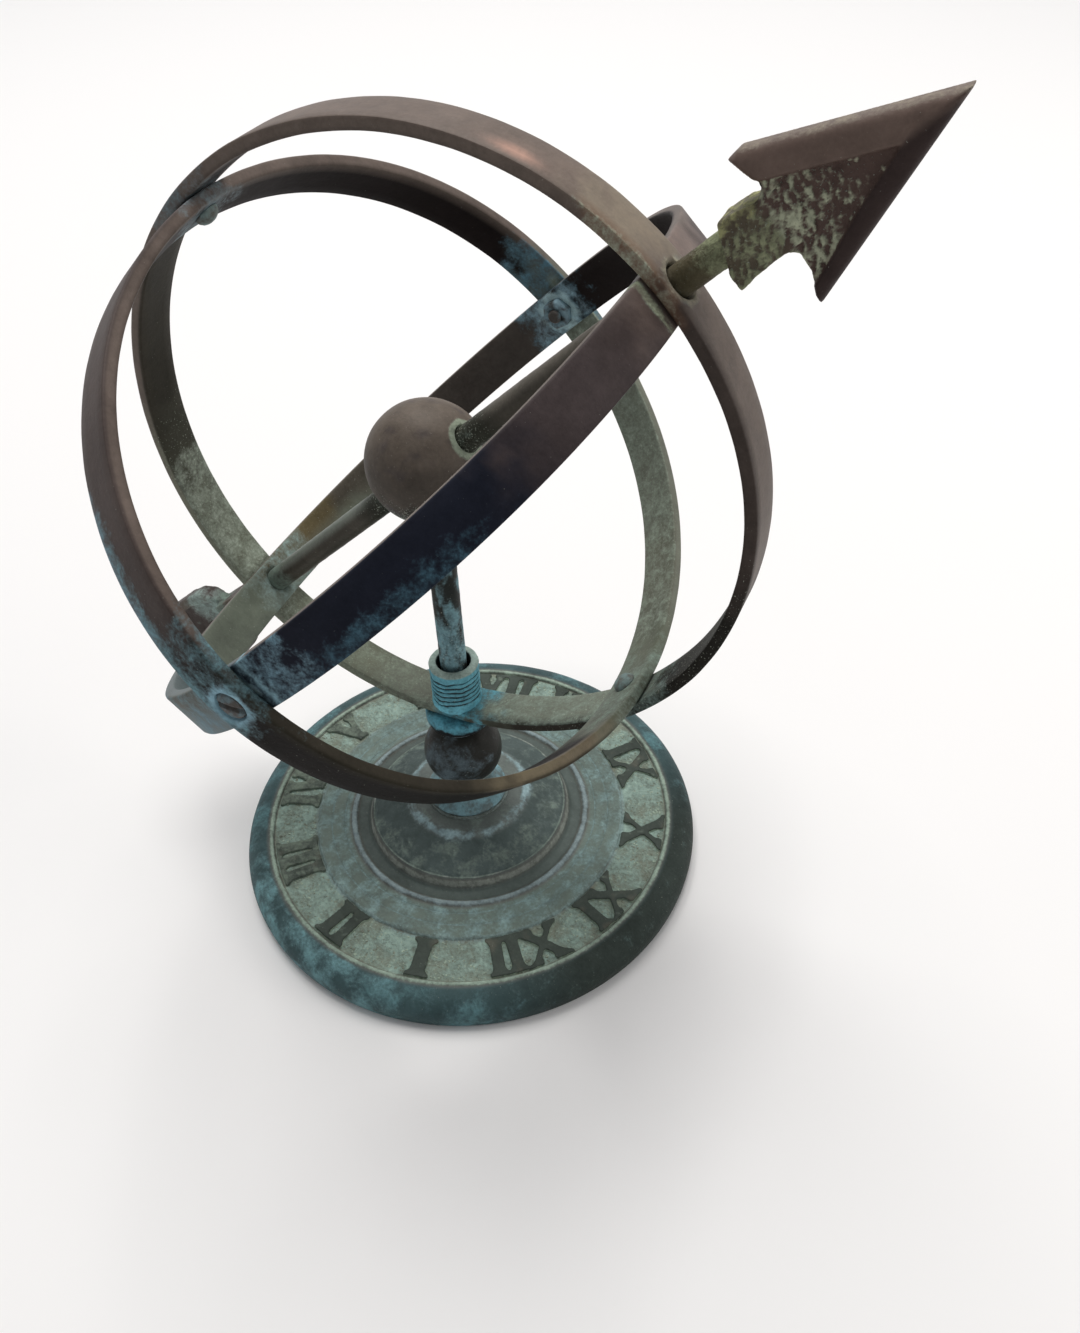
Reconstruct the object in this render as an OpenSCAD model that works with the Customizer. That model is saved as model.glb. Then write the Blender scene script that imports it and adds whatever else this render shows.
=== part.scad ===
// Armillary sundial: three riveted hoops round a ball, on a stem that turns on a cast dial.
// Millimetres, +Z up. The origin is the middle of the dial's underside, and the arrow points to +X.

/* [Hoops] */
// Outside diameter of the meridian hoop, measured across the pole line
hoop_d = 174; // [150:1:200]
// Width of the flat bar that the hoops are bent from
bar_w = 12.7; // [10:0.1:15]
// Thickness of that bar
bar_t = 3.2; // [2.4:0.1:3.6]
// Gap between two hoops where they cross
hoop_gap = 0.6; // [0.6:0.05:1]
// How much wider the meridian hoop is along the pole line than across it
meridian_stretch = 5; // [0:0.5:8]
// How much wider the equator hoop is from side to side than from top to bottom
equator_stretch = 15; // [8:0.5:18]
// How far the hour hoop bows out between its four crossings
hour_bow = 2; // [0:0.1:4]
// Lean of the hour hoop about the pole line, in degrees
hour_lean = 1.9; // [0:0.1:2]
// Lean of the equator hoop to one side, in degrees
equator_lean = 1; // [0:0.1:2]

/* [Polar line] */
// Angle of the pole line above the level
pole_angle = 43.5; // [38:0.5:50]
// Diameter of the two polar rods
rod_d = 7; // [5:0.1:8]
// Diameter of the hole that the arrow's rod leaves the meridian hoop by
arrow_hole_d = 9; // [8.4:0.1:10]
// Diameter of the ball
ball_d = 32.4; // [28:0.1:38]
// How far the ball's middle lies above the pole line
ball_lift = 1.5; // [0:0.1:2]
// Depth of the rod holes in the ball
ball_hole = 9; // [6:0.5:10]
// Width of the slope cut round each rod hole in the ball
hole_rim = 1; // [0.4:0.1:2]

/* [Arrow] */
// Length of the arrow's head from barb to tip
head_l = 41.8; // [36:0.2:50]
// Width of the head across its barbs
head_w = 32.4; // [26:0.2:38]
// Thickness of the head and of the tail
arrow_t = 6.4; // [5:0.1:9]
// Width of the slope ground along the head's two long edges
bevel_w = 4.4; // [3:0.1:6]
// Thickness left at the foot of those slopes
edge_t = 1.8; // [1:0.1:3]
// Depth of the sharp notch behind the head's upper barb
barb_notch = 2.4; // [1:0.1:4]
// How far the head hangs below the pole line
head_drop = 3; // [0:0.1:4]
// Length of the square neck behind the head
neck_l = 12.4; // [10:0.1:16]
// Height of the neck
neck_h = 13.6; // [12:0.1:15]
// Thickness of the neck
neck_t = 10; // [9.4:0.1:12]
// Bare rod between the meridian hoop and the neck
bare_l = 11; // [8:0.5:16]
// Depth of the rod's hole in a neck
neck_bore = 9; // [7:0.5:9.5]
// Length of the tail behind its neck
tail_l = 31.5; // [26:0.5:44]
// Height of the tail across its vanes
tail_h = 27.6; // [20:0.2:32]
// Depth of the notch in the tail's end
tail_notch = 9; // [6:0.5:12]

/* [Fasteners] */
// Diameter of the rivets that join the meridian and equator hoops
rivet_d = 5; // [4:0.1:6]
// Diameter of the rivets' round tails
rivet_tail_d = 6.6; // [6.2:0.1:9]
// Height of those tails
rivet_tail_h = 2.4; // [1.5:0.1:3]
// Height of the rivets' low outer heads
rivet_head_h = 0.5; // [0.3:0.1:0.8]
// Diameter of the screws that join the equator and hour hoops
screw_d = 4; // [3:0.1:4.4]
// Diameter of the screws' heads
screw_head_d = 7.4; // [6.4:0.1:8]
// Depth of the hollow round each screw's head
screw_sink = 1; // [0.6:0.1:1.2]
// Height of the screws' heads
screw_head_h = 1.2; // [0.9:0.1:1.5]
// Width of the slot in each head
slot_w = 1; // [0.6:0.1:1.4]
// Width of the nuts on the screws, across flats
screw_nut_w = 8; // [7:0.1:9]
// Thickness of those nuts
screw_nut_h = 2.8; // [2:0.1:4]

/* [Stem] */
// Diameter of the threaded stud that holds the stem together
stud_d = 8; // [6:0.1:8]
// Diameter of the round bulb
bulb_d = 25; // [23.6:0.2:28]
// Diameter of the flat underside of the bulb
bulb_lip_d = 21.6; // [19:0.2:22.4]
// Height of the bulb's foot between the dial and the round part
foot_h = 13.5; // [9:0.1:16]
// Diameter of the bulb's foot
foot_d = 16.6; // [14:0.2:20]
// How far the flare round the foot stands back from the seat washer's edge
flare_inset = 0.5; // [0.3:0.1:1.5]
// Thickness of the flare's edge
flare_t = 1.2; // [0.8:0.1:2]
// Diameter of the neck nut where it meets the bulb
nut_low_d = 12.6; // [11.4:0.2:15]
// Diameter of the neck nut under the hoop
nut_top_d = 20.6; // [18:0.2:23]
// Height of the neck nut from the bulb to the hoop
nut_h = 8.8; // [7.4:0.1:14]
// Height of the neck nut's straight rim
nut_rim = 4.6; // [3:0.1:6]
// Outside diameter of the socket on the hoop
socket_d = 15; // [14.2:0.1:17]
// Height of the socket's mouth above the hoop
socket_h = 15.8; // [12:0.2:18]
// Diameter of the socket's mouth
mouth_d = 10; // [9.4:0.1:11]
// Depth of the wide part of the mouth
mouth_depth = 5; // [3:0.2:6]
// Number of turned grooves round the socket
groove_count = 3; // [1:1:4]
// Distance from one groove to the next
groove_pitch = 2.9; // [2.4:0.1:3]
// Width of a groove
groove_w = 1; // [0.6:0.1:1.4]
// Diameter of the upright rod from the socket to the ball
upright_d = 8; // [6:0.1:8.6]
// Height of the upright's foot over the hoop's inner face
upright_seat = 5; // [3:0.5:7]
// Depth of the upright's hole in the ball
upright_hole = 6; // [4:0.5:7]

/* [Dial] */
// Diameter of the cast dial at its foot
dial_d = 151; // [148:1:160]
// Swell of the rim past the foot, on the radius
rim_swell = 0.6; // [0:0.1:1.5]
// Height of the numeral band's outer edge
rim_z = 10.9; // [9.5:0.1:12]
// Height at which the rim is widest
belly_z = 4; // [2:0.2:6]
// Outside radius of the numeral band
band_r = 68.2; // [67:0.2:70]
// Inside radius of the numeral band
band_in_r = 51.5; // [50:0.2:53]
// Depth of the sunken ground between the numerals
ground_depth = 0.9; // [0.5:0.1:1.2]
// Width of the raised line round the band
line_w = 1.4; // [1:0.1:2]
// Radius of the raised ring round the groove
ring_r = 40.2; // [39.5:0.1:42]
// Width of the raised ring
ring_w = 1.7; // [1:0.1:2.2]
// Height of the raised ring over the flat
ring_h = 0.8; // [0.3:0.1:1.2]
// Width of the groove round the dome
moat_w = 2.4; // [1.6:0.1:3]
// Radius of the line scribed round the dome
dome_r = 32; // [31:0.1:33]
// Height of the dome at that line
dome_z = 15.7; // [15:0.1:17]
// Radius of the step at the top of the dome
step_r = 19.2; // [18:0.1:20]
// Height of that step
step_z = 21.8; // [21:0.1:23]
// Wall of the casting
dial_wall = 4; // [3:0.1:4.4]
// Radius of the boss round the stud, under the dial
boss_r = 15; // [13:0.5:17]
// Height of the boss's lower face above the table
boss_z = 12; // [11.4:0.1:14]

/* [Stud fittings] */
// Diameter of the seat washer under the stem
seat_d = 27.4; // [24:0.2:30]
// Thickness of the seat washer
seat_t = 0.8; // [0.5:0.1:1.2]
// Diameter of the flat washer under the dial
washer_d = 20; // [17:0.5:24]
// Thickness of the flat washer
washer_t = 1.6; // [1:0.1:1.8]
// Thickness of the spring washer's wire
spring_t = 2; // [1.5:0.1:2.2]
// Width of that wire, from the bore outwards
spring_w = 3; // [2:0.1:4]
// Width of the slit in the spring washer
spring_slit = 1.2; // [0.6:0.1:2]
// Width of the stem nut across its flats
stem_nut_w = 13; // [12:0.5:14]
// Thickness of the stem nut
stem_nut_h = 6; // [5:0.1:6]
// How far the stud stands out of the stem nut
stud_past = 0.9; // [0.2:0.1:1]

/* [Numerals] */
// Height of the raised numerals over the ground
numeral_h = 0.9; // [0.5:0.1:1.1]
// Width of a heavy stroke
heavy = 3.8; // [3:0.1:4.2]
// Width of a light stroke
light = 2.4; // [1.6:0.1:3]
// Width of the bars that close each stroke at the top and bottom
serif_w = 1.3; // [0.8:0.1:1.8]
// How far those bars stand out beside a stroke
serif_out = 1.2; // [0.6:0.1:1.6]
// How far each arm of a V leans out at its head
v_spread = 3.6; // [3:0.1:4]
// How far each arm of an X leans out
x_spread = 4.9; // [4:0.1:5.4]
// Degrees of the dial that an I takes
i_width = 5.3; // [5:0.1:5.6]
// Degrees of the dial that a V takes
v_width = 10; // [9.4:0.1:10.4]
// Degrees of the dial that an X takes
x_width = 12.6; // [12:0.1:13]
// Direction of the twelve o'clock numeral, in degrees from the arrow
noon_angle = -45.8; // [-180:0.1:180]

/* [Hidden] */
$fn = 96;
fit = 0.05;       // radial room of a pin or stud in its hole
seat = 0.05;      // room left between two faces that are cut to each other
end_room = 0.4;   // room past the end of a rod in a blind hole
over = 1;         // how far a cut runs past the face it opens
hoop_steps = 144; // straight lines in one hoop's outline

// Radii of the hoops' middle lines at their crossings. The meridian hoop passes outside the other two,
// and the equator hoop passes outside the hour hoop.
nest = bar_t + hoop_gap;
meridian_c = (hoop_d - bar_t) / 2;
meridian_a = meridian_c + meridian_stretch / 2;
equator_c = meridian_c - nest;
equator_e = equator_c + equator_stretch / 2;
hour_a = meridian_a - nest;
hour_e = equator_e - nest;

// Places along the pole line, measured from the hoops' centre
hoop_face = meridian_a + bar_t / 2;
neck_start = hoop_face + bare_l;
barb_x = neck_start + neck_l;
tip_x = barb_x + head_l;
tail_end = barb_x + tail_l;

// Heights on the stem
flare_d = seat_d - 2 * flare_inset;
seat_top = step_z + seat_t;
foot_top = seat_top + foot_h;
bulb_z = foot_top + sqrt(pow(bulb_d / 2, 2) - pow(bulb_lip_d / 2, 2));
bulb_top = bulb_z + sqrt(pow(bulb_d / 2, 2) - pow(nut_low_d / 2, 2));
hoop_low = bulb_top + nut_h;
hoop_floor = hoop_low + bar_t;
hub_z = hoop_low + bar_t / 2 + middle(-90 - pole_angle, meridian_a, meridian_c, 0);
mouth_z = hoop_floor + socket_h - mouth_depth;
rod_foot = hoop_floor + upright_seat;
stud_top = rod_foot - end_room;
upright_top = hub_z - ball_d / 2 + upright_hole;
washer_z = boss_z - washer_t;
spring_z = washer_z - spring_t;
nut_z = spring_z - stem_nut_h;
stud_low = max(nut_z - stud_past, 0.5);

// Dial
rim_r = dial_d / 2;
ground_z = rim_z - ground_depth;
slope = 0.4; // run of the small slopes beside each step of the casting
flat_z = rim_z + slope;
numeral_out = band_r - line_w - 2 * slope;
numeral_in = band_in_r + 2 * slope;
under_r = rim_r - dial_wall;
stud_hole = stud_d / 2 + fit;

// Middle radius of a hoop at an angle: r0 on the first axis, r1 on the second, and bow between them
function middle(t, r0, r1, bow) =
    (r0 + r1) / 2 + (r0 - r1) / 2 * cos(2 * t) + bow * pow(sin(2 * t), 2);
function ring_points(r0, r1, bow, side) =
    [for (i = [0:hoop_steps - 1]) let (t = 360 * i / hoop_steps, r = middle(t, r0, r1, bow) + side)
        [r * cos(t), r * sin(t)]];
function arc_points(r, from, to) =
    [for (i = [0:8]) let (t = from + (to - from) * i / 8) [r * cos(t), r * sin(t)]];

// The pole line's frame: +X along the arrow, +Z up and back, centred in the hoops
module polar() {
    translate([0, 0, hub_z]) rotate([0, -pole_angle, 0]) children();
}

module outline(r0, r1, bow, side) {
    polygon(ring_points(r0, r1, bow, side));
}

module flat_hoop(r0, r1, bow) {
    linear_extrude(bar_w, center = true) difference() {
        outline(r0, r1, bow, bar_t / 2);
        outline(r0, r1, bow, -bar_t / 2);
    }
}

// Turns a flat hoop into the meridian plane
module meridian_plane() {
    rotate([90, 0, 0]) children();
}

module along_pole(from, to, d) {
    translate([from, 0, 0]) rotate([0, 90, 0]) cylinder(h = to - from, d = d);
}

// Dial

function rim_curve() = [for (i = [0:8]) let (t = 90 * i / 8)
    [band_r + (rim_r + rim_swell - band_r) * cos(t), belly_z + (rim_z - belly_z) * sin(t)]];
// The dome rises steeply from its scribed line and flattens towards the step at its top
function dome_curve() = [for (i = [0:6]) let (t = i / 6)
    [dome_r + (step_r + slope - dome_r) * t, dome_z + (step_z - slope - dome_z) * (1 - pow(1 - t, 1.25))]];

module dial_profile() {
    line_r = band_r - line_w;
    moat_r = dome_r + moat_w;
    top = concat([[rim_r, 0]], rim_curve(),
        [[line_r, rim_z], [line_r - slope, ground_z], [band_in_r + slope, ground_z], [band_in_r, rim_z],
         [band_in_r - slope, flat_z], [ring_r + slope, flat_z], [ring_r, flat_z + ring_h],
         [ring_r - ring_w, flat_z + ring_h], [ring_r - ring_w - 2 * slope, flat_z - slope],
         [moat_r, flat_z - slope], [(moat_r + dome_r) / 2, dome_z - 4 * slope]],
        dome_curve(), [[step_r, step_z], [stud_hole, step_z]]);
    under = [[stud_hole, boss_z], [boss_r, boss_z], [boss_r + slope, step_z - 1.5 * dial_wall],
        [step_r, step_z - 1.5 * dial_wall], [dome_r - dial_wall / 2, dome_z - 1.4 * dial_wall],
        [dome_r + dial_wall, flat_z - dial_wall], [under_r - 2 * dial_wall, ground_z - dial_wall],
        [under_r, belly_z - slope], [under_r, 0]];
    polygon(concat(top, under));
}

// One stroke from a point on the lower line to a point on the upper line
module stroke(x0, y0, x1, y1, w) {
    polygon([[x0 - w / 2, y0], [x0 + w / 2, y0], [x1 + w / 2, y1], [x1 - w / 2, y1]]);
}

// A short bar that follows the dial's circle and closes a stroke that ends beside the letter's middle
module serif(r, angle, beside, w) {
    middle_angle = angle - beside / r * 180 / PI;
    half = (w / 2 + serif_out) / r * 180 / PI;
    polygon(concat(arc_points(r - serif_w / 2, middle_angle - half, middle_angle + half),
                   arc_points(r + serif_w / 2, middle_angle + half, middle_angle - half)));
}

// Strokes of a letter: how far its foot and its head stand beside the middle, and its width
function strokes(kind) =
    kind == "I" ? [[0, 0, heavy]] :
    kind == "V" ? [[v_spread / 5, -v_spread, heavy], [-v_spread / 5, v_spread, light]] :
    [[x_spread, -x_spread, heavy], [-x_spread, x_spread, light]];

// A letter stands on the inner line with its head outwards, turned to its own angle
module letter(kind, angle) {
    mid = (numeral_in + numeral_out) / 2;
    low = numeral_in + serif_w / 2;
    high = numeral_out - serif_w / 2;
    for (s = strokes(kind)) {
        rotate(angle - 90) translate([0, mid]) stroke(s[0], low - mid, s[1], high - mid, s[2]);
        serif(high, angle, s[1], s[2]);
        if (kind != "V") serif(low, angle, s[0], s[2]);
    }
}

// Degrees of the dial that a letter takes, and that the first letters of a word take
function letter_width(kind) = kind == "I" ? i_width : kind == "V" ? v_width : x_width;
function word_width(word, count) =
    count == 0 ? 0 : letter_width(word[count - 1]) + word_width(word, count - 1);

module numeral(word, angle) {
    half = word_width(word, len(word)) / 2;
    for (i = [0:len(word) - 1])
        letter(word[i], angle + half - word_width(word, i) - letter_width(word[i]) / 2);
}

// The hours run clockwise. Each is sunk a little into the ground so that it is one with the casting.
module numerals() {
    words = ["XII", "I", "II", "III", "IV", "V", "VI", "VII", "VIII", "IX", "X", "XI"];
    sunk = dial_wall / 10;
    for (hour = [0:11])
        translate([0, 0, ground_z - sunk]) linear_extrude(numeral_h + sunk)
            numeral(words[hour], noon_angle - 30 * hour);
}

module dial_base() {
    color([0.44, 0.53, 0.47]) {
        rotate_extrude() dial_profile();
        numerals();
    }
}

// Stem

module stud_bore(from, to) {
    translate([0, 0, from - over]) cylinder(h = to - from + 2 * over, r = stud_hole);
}

module washer(z, d, t) {
    difference() {
        translate([0, 0, z]) cylinder(h = t, d = d);
        stud_bore(z, z + t);
    }
}

module hexagon(z, w, h) {
    translate([0, 0, z]) cylinder(h = h, d = w / cos(30), $fn = 6);
}

module seat_washer() {
    color([0.42, 0.56, 0.6]) washer(step_z, seat_d, seat_t);
}

// A ball cut flat at its top and underside, on a foot that flares out over the dial
module stem_bulb() {
    flare_top = seat_top + flare_t;
    color([0.2, 0.21, 0.2]) difference() {
        union() {
            translate([0, 0, seat_top]) cylinder(h = flare_t, d = flare_d);
            translate([0, 0, flare_top]) cylinder(h = 4 * flare_t, d1 = flare_d - flare_t, d2 = foot_d);
            translate([0, 0, flare_top]) cylinder(h = foot_h - flare_t + over, d = foot_d);
            intersection() {
                translate([0, 0, bulb_z]) sphere(d = bulb_d);
                translate([0, 0, foot_top]) cylinder(h = bulb_top - foot_top, d = bulb_d + over);
            }
        }
        stud_bore(seat_top, bulb_top);
    }
}

// Everything inside the meridian hoop's own outline, grown or shrunk by a little
module meridian_block(side) {
    polar() meridian_plane() linear_extrude(2 * nut_top_d, center = true)
        outline(meridian_a, meridian_c, 0, side);
}

// A turned cone with a straight rim, whose top is cut to the hoop's curve
module neck_nut() {
    rim = hoop_low - nut_rim;
    top = hoop_low + over;
    color([0.17, 0.2, 0.2]) difference() {
        rotate_extrude() polygon([[stud_hole, bulb_top], [nut_low_d / 2, bulb_top], [nut_top_d / 2, rim],
                                  [nut_top_d / 2, top], [stud_hole, top]]);
        meridian_block(bar_t / 2 + seat);
    }
}

module stem_stud() {
    color([0.35, 0.33, 0.28]) translate([0, 0, stud_low]) cylinder(h = stud_top - stud_low, d = stud_d);
}

module flat_washer() {
    color([0.5, 0.46, 0.34]) washer(washer_z, washer_d, washer_t);
}

// A split ring, pressed flat
module spring_washer() {
    color([0.4, 0.4, 0.4]) difference() {
        washer(spring_z, stud_d + 2 * spring_w, spring_t);
        translate([0, -spring_slit / 2, spring_z - over])
            cube([stud_d + spring_w, spring_slit, spring_t + 2 * over]);
    }
}

module stem_nut() {
    color([0.5, 0.46, 0.34]) difference() {
        hexagon(nut_z, stem_nut_w, stem_nut_h);
        stud_bore(nut_z, spring_z);
    }
}

// The socket stands on the hoop's inner face, with its foot cut to the curve
module hoop_socket() {
    first_groove = hoop_floor + upright_seat - groove_w;
    color([0.3, 0.52, 0.55]) difference() {
        intersection() {
            translate([0, 0, hoop_floor - over]) cylinder(h = socket_h + over, d = socket_d);
            meridian_block(-bar_t / 2 - seat);
        }
        stud_bore(hoop_floor, rod_foot - over);
        translate([0, 0, rod_foot]) cylinder(h = socket_h, d = upright_d + 2 * fit);
        translate([0, 0, mouth_z]) cylinder(h = mouth_depth + over, d = mouth_d);
        for (i = [0:groove_count - 1])
            translate([0, 0, first_groove + i * groove_pitch])
                rotate_extrude() translate([socket_d / 2, 0]) circle(d = groove_w, $fn = 24);
    }
}

module upright_rod() {
    color([0.38, 0.42, 0.38]) translate([0, 0, rod_foot])
        cylinder(h = upright_top - rod_foot, d = upright_d);
}

// Ball

// The slope round the mouth of a rod hole
module rim_slope() {
    mouth = sqrt(pow(ball_d / 2, 2) - pow(rod_d / 2, 2));
    translate([mouth - hole_rim, 0, 0]) rotate([0, 90, 0])
        cylinder(h = 3 * hole_rim, d1 = rod_d, d2 = rod_d + 6 * hole_rim);
}

module ball() {
    ball_floor = hub_z - ball_d;
    color([0.36, 0.32, 0.29]) difference() {
        polar() translate([0, 0, ball_lift]) sphere(d = ball_d, $fn = 128);
        for (turn = [0, 180]) polar() rotate([0, turn, 0]) {
            along_pole(ball_d / 2 - ball_hole, ball_d, rod_d + 2 * fit);
            rim_slope();
        }
        translate([0, 0, ball_floor])
            cylinder(h = upright_top + end_room - ball_floor, d = upright_d + 2 * fit);
    }
}

// Hoops

module meridian_hoop() {
    color([0.42, 0.37, 0.33]) difference() {
        polar() meridian_plane() flat_hoop(meridian_a, meridian_c, 0);
        polar() along_pole(0, hoop_face + over, arrow_hole_d);
        polar() along_pole(-hoop_face - over, 0, rod_d + 2 * fit);
        polar() cylinder(h = 2 * hoop_d, d = rivet_d + 2 * fit, center = true);
        stud_bore(hoop_low - bar_t, hoop_floor + bar_t);
    }
}

module equator_hoop() {
    sink_z = equator_e + bar_t / 2 - screw_sink;
    color([0.3, 0.28, 0.25]) difference() {
        polar() rotate([0, 0, -equator_lean]) rotate([0, -90, 180]) flat_hoop(equator_c, equator_e, 0);
        polar() cylinder(h = 2 * hoop_d, d = rivet_d + 2 * fit, center = true);
        side_places() {
            cylinder(h = hoop_d, d = screw_d + 2 * fit);
            translate([0, 0, sink_z]) cylinder(h = screw_sink + over, d = screw_head_d + 2 * slope);
        }
    }
}

module hour_hoop() {
    color([0.16, 0.19, 0.22]) difference() {
        polar() rotate([hour_lean, 0, 0]) flat_hoop(hour_a, hour_e, hour_bow);
        polar() along_pole(-hoop_d, hoop_d, rod_d + 2 * fit);
        side_places() cylinder(h = hoop_d, d = screw_d + 2 * fit);
    }
}

// Fasteners

// The two side crossings of the leaning hoops, each with +Z outwards
module side_places() {
    polar() rotate([0, 0, -equator_lean]) rotate([hour_lean, 0, 0])
        for (side = [90, -90]) rotate([side, 0, 0]) children();
}

// A shank through both hoops, with a low head outside and a round tail inside
module meridian_rivets() {
    inner = equator_c - bar_t / 2 - 2 * seat;
    outer = meridian_c + bar_t / 2;
    lift = rivet_tail_lift();
    color([0.3, 0.36, 0.33]) polar() for (side = [0, 180]) rotate([side, 0, 0]) {
        translate([0, 0, inner - rivet_tail_h / 2])
            cylinder(h = outer - inner + (rivet_tail_h + rivet_head_h) / 2, d = rivet_d);
        translate([0, 0, outer])
            cylinder(h = rivet_head_h, d1 = rivet_tail_d, d2 = rivet_tail_d - 2 * rivet_head_h);
        translate([0, 0, inner]) intersection() {
            translate([0, 0, lift]) sphere(r = rivet_tail_h + lift);
            translate([0, 0, -rivet_tail_h]) cylinder(h = rivet_tail_h, d = rivet_tail_d);
        }
    }
}

// How far past its flat face the middle of a rivet's round tail lies
function rivet_tail_lift() = max((pow(rivet_tail_d / 2, 2) - pow(rivet_tail_h, 2)) / (2 * rivet_tail_h), 0);

module side_screws() {
    under_head = equator_e + bar_t / 2 - screw_sink + seat;
    tip = hour_e - bar_t / 2 - screw_nut_h - screw_head_h;
    slot_z = under_head + screw_head_h / 2;
    color([0.16, 0.2, 0.21]) side_places() difference() {
        union() {
            translate([0, 0, tip]) cylinder(h = slot_z - tip, d = screw_d);
            translate([0, 0, under_head]) cylinder(h = screw_head_h, d = screw_head_d);
        }
        translate([-screw_head_d, -slot_w / 2, slot_z]) cube([2 * screw_head_d, slot_w, screw_head_h]);
    }
}

// The nuts bear on the hour hoop's curved inner face with their corners
module side_nuts() {
    face = hour_e - bar_t / 2 - 5 * seat;
    color([0.3, 0.42, 0.42]) side_places() difference() {
        hexagon(face - screw_nut_h, screw_nut_w, screw_nut_h);
        translate([0, 0, face - screw_nut_h - over])
            cylinder(h = screw_nut_h + 2 * over, d = screw_d + 2 * fit);
    }
}

// Polar rods and arrow

// A rod from its hole in the ball to its hole in a neck, on the arrow's side
module polar_rod() {
    along_pole(ball_d / 2 - ball_hole + end_room, neck_start + neck_bore - end_room, rod_d);
}

module front_rod() {
    color([0.27, 0.25, 0.21]) polar() polar_rod();
}

module tail_rod() {
    color([0.3, 0.29, 0.26]) polar() rotate([0, 180, 0]) polar_rod();
}

// A flat shape in the meridian plane, drawn to both sides of it
module plate(points, t) {
    meridian_plane() linear_extrude(t, center = true) polygon(points);
}

// The hole that holds a polar rod
module neck_hole() {
    along_pole(neck_start - over, neck_start + neck_bore, rod_d + 2 * fit);
}

// A wedge that takes the corner off one long edge of the head, on both faces
module edge_cut(x0, z0, x1, z1, side) {
    run = sqrt(pow(x1 - x0, 2) + pow(z1 - z0, 2));
    size = bevel_w + 2 * arrow_t;
    lean = atan2((arrow_t - edge_t) / 2, bevel_w);
    meridian_plane() translate([x0, z0, 0]) rotate([0, 0, atan2(z1 - z0, x1 - x0)])
        translate([-size, 0, 0]) for (face = [0, 1]) mirror([0, 0, face]) translate([0, 0, edge_t / 2])
            rotate([side * lean, 0, 0]) translate([0, side > 0 ? -size : -bevel_w - size, 0])
                cube([run + 2 * size, bevel_w + 2 * size, arrow_t]);
}

// The upper barb ends in a sharp notch, and the lower one sweeps back further in a shallow curve
module arrowhead() {
    top = head_w / 2 - head_drop;
    low = -head_w / 2 - head_drop;
    neck_top = neck_h / 2 - head_drop;
    neck_low = -neck_h / 2 - head_drop;
    back_x = barb_x - slope;
    rise = head_drop / 2;
    color([0.3, 0.29, 0.24]) polar() difference() {
        union() {
            difference() {
                plate([[tip_x, -head_drop], [barb_x, top], [barb_x + barb_notch, neck_top],
                       [barb_x, -head_drop], [barb_x + 2 * slope, neck_low], [back_x, low]], arrow_t);
                edge_cut(barb_x, top, tip_x, -head_drop, -1);
                edge_cut(back_x, low, tip_x, -head_drop, 1);
            }
            plate([[back_x, neck_top], [barb_x + neck_h / 2, neck_top - 2 * slope],
                   [barb_x + neck_h / 2, neck_low + 2 * slope], [back_x, neck_low]], arrow_t);
            plate([[neck_start, neck_top + rise], [barb_x, neck_top], [barb_x, neck_low],
                   [neck_start, neck_low + rise]], neck_t);
        }
        neck_hole();
    }
}

function mirrored(points) =
    concat(points, [for (i = [len(points) - 1:-1:0]) [points[i][0], -points[i][1]]]);

// The tail swells from its neck to two blunt vanes with a notch between them
module arrow_tail() {
    half = tail_h / 2;
    neck_half = neck_h / 2 - 4 * slope;
    shoulder = 5;
    color([0.33, 0.32, 0.28]) polar() rotate([0, 0, 180]) difference() {
        union() {
            difference() {
                plate(mirrored([[barb_x - over, neck_half], [barb_x + shoulder / 2, half - neck_half / 2],
                                [barb_x + shoulder, half - 4 * slope], [barb_x + 2 * shoulder, half - slope],
                                [tail_end, half]]), arrow_t);
                plate([[tail_end - tail_notch, 0], [tail_end + over, half + slope],
                       [tail_end + over, -half - slope]], arrow_t + 2 * over);
            }
            plate(mirrored([[neck_start, neck_half - over], [barb_x, neck_half]]), neck_t);
        }
        neck_hole();
    }
}

dial_base();
seat_washer();
stem_bulb();
neck_nut();
stem_stud();
flat_washer();
spring_washer();
stem_nut();
hoop_socket();
upright_rod();
ball();
meridian_hoop();
equator_hoop();
hour_hoop();
meridian_rivets();
side_screws();
side_nuts();
front_rod();
tail_rod();
arrowhead();
arrow_tail();
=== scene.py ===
# %% [markdown]
# # A table armillary sundial in aged bronze
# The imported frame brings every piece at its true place, in metres, with Z up and the origin in the middle
# of the dial's underside. Each step below dresses one group of pieces: the shape first, then where the
# patina lies on it. Lengths are written in millimetres and turned to metres when a mesh is made.

# %% Open the frame
import math

import bpy
import numpy as np
from mathutils import Matrix, Vector


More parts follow.
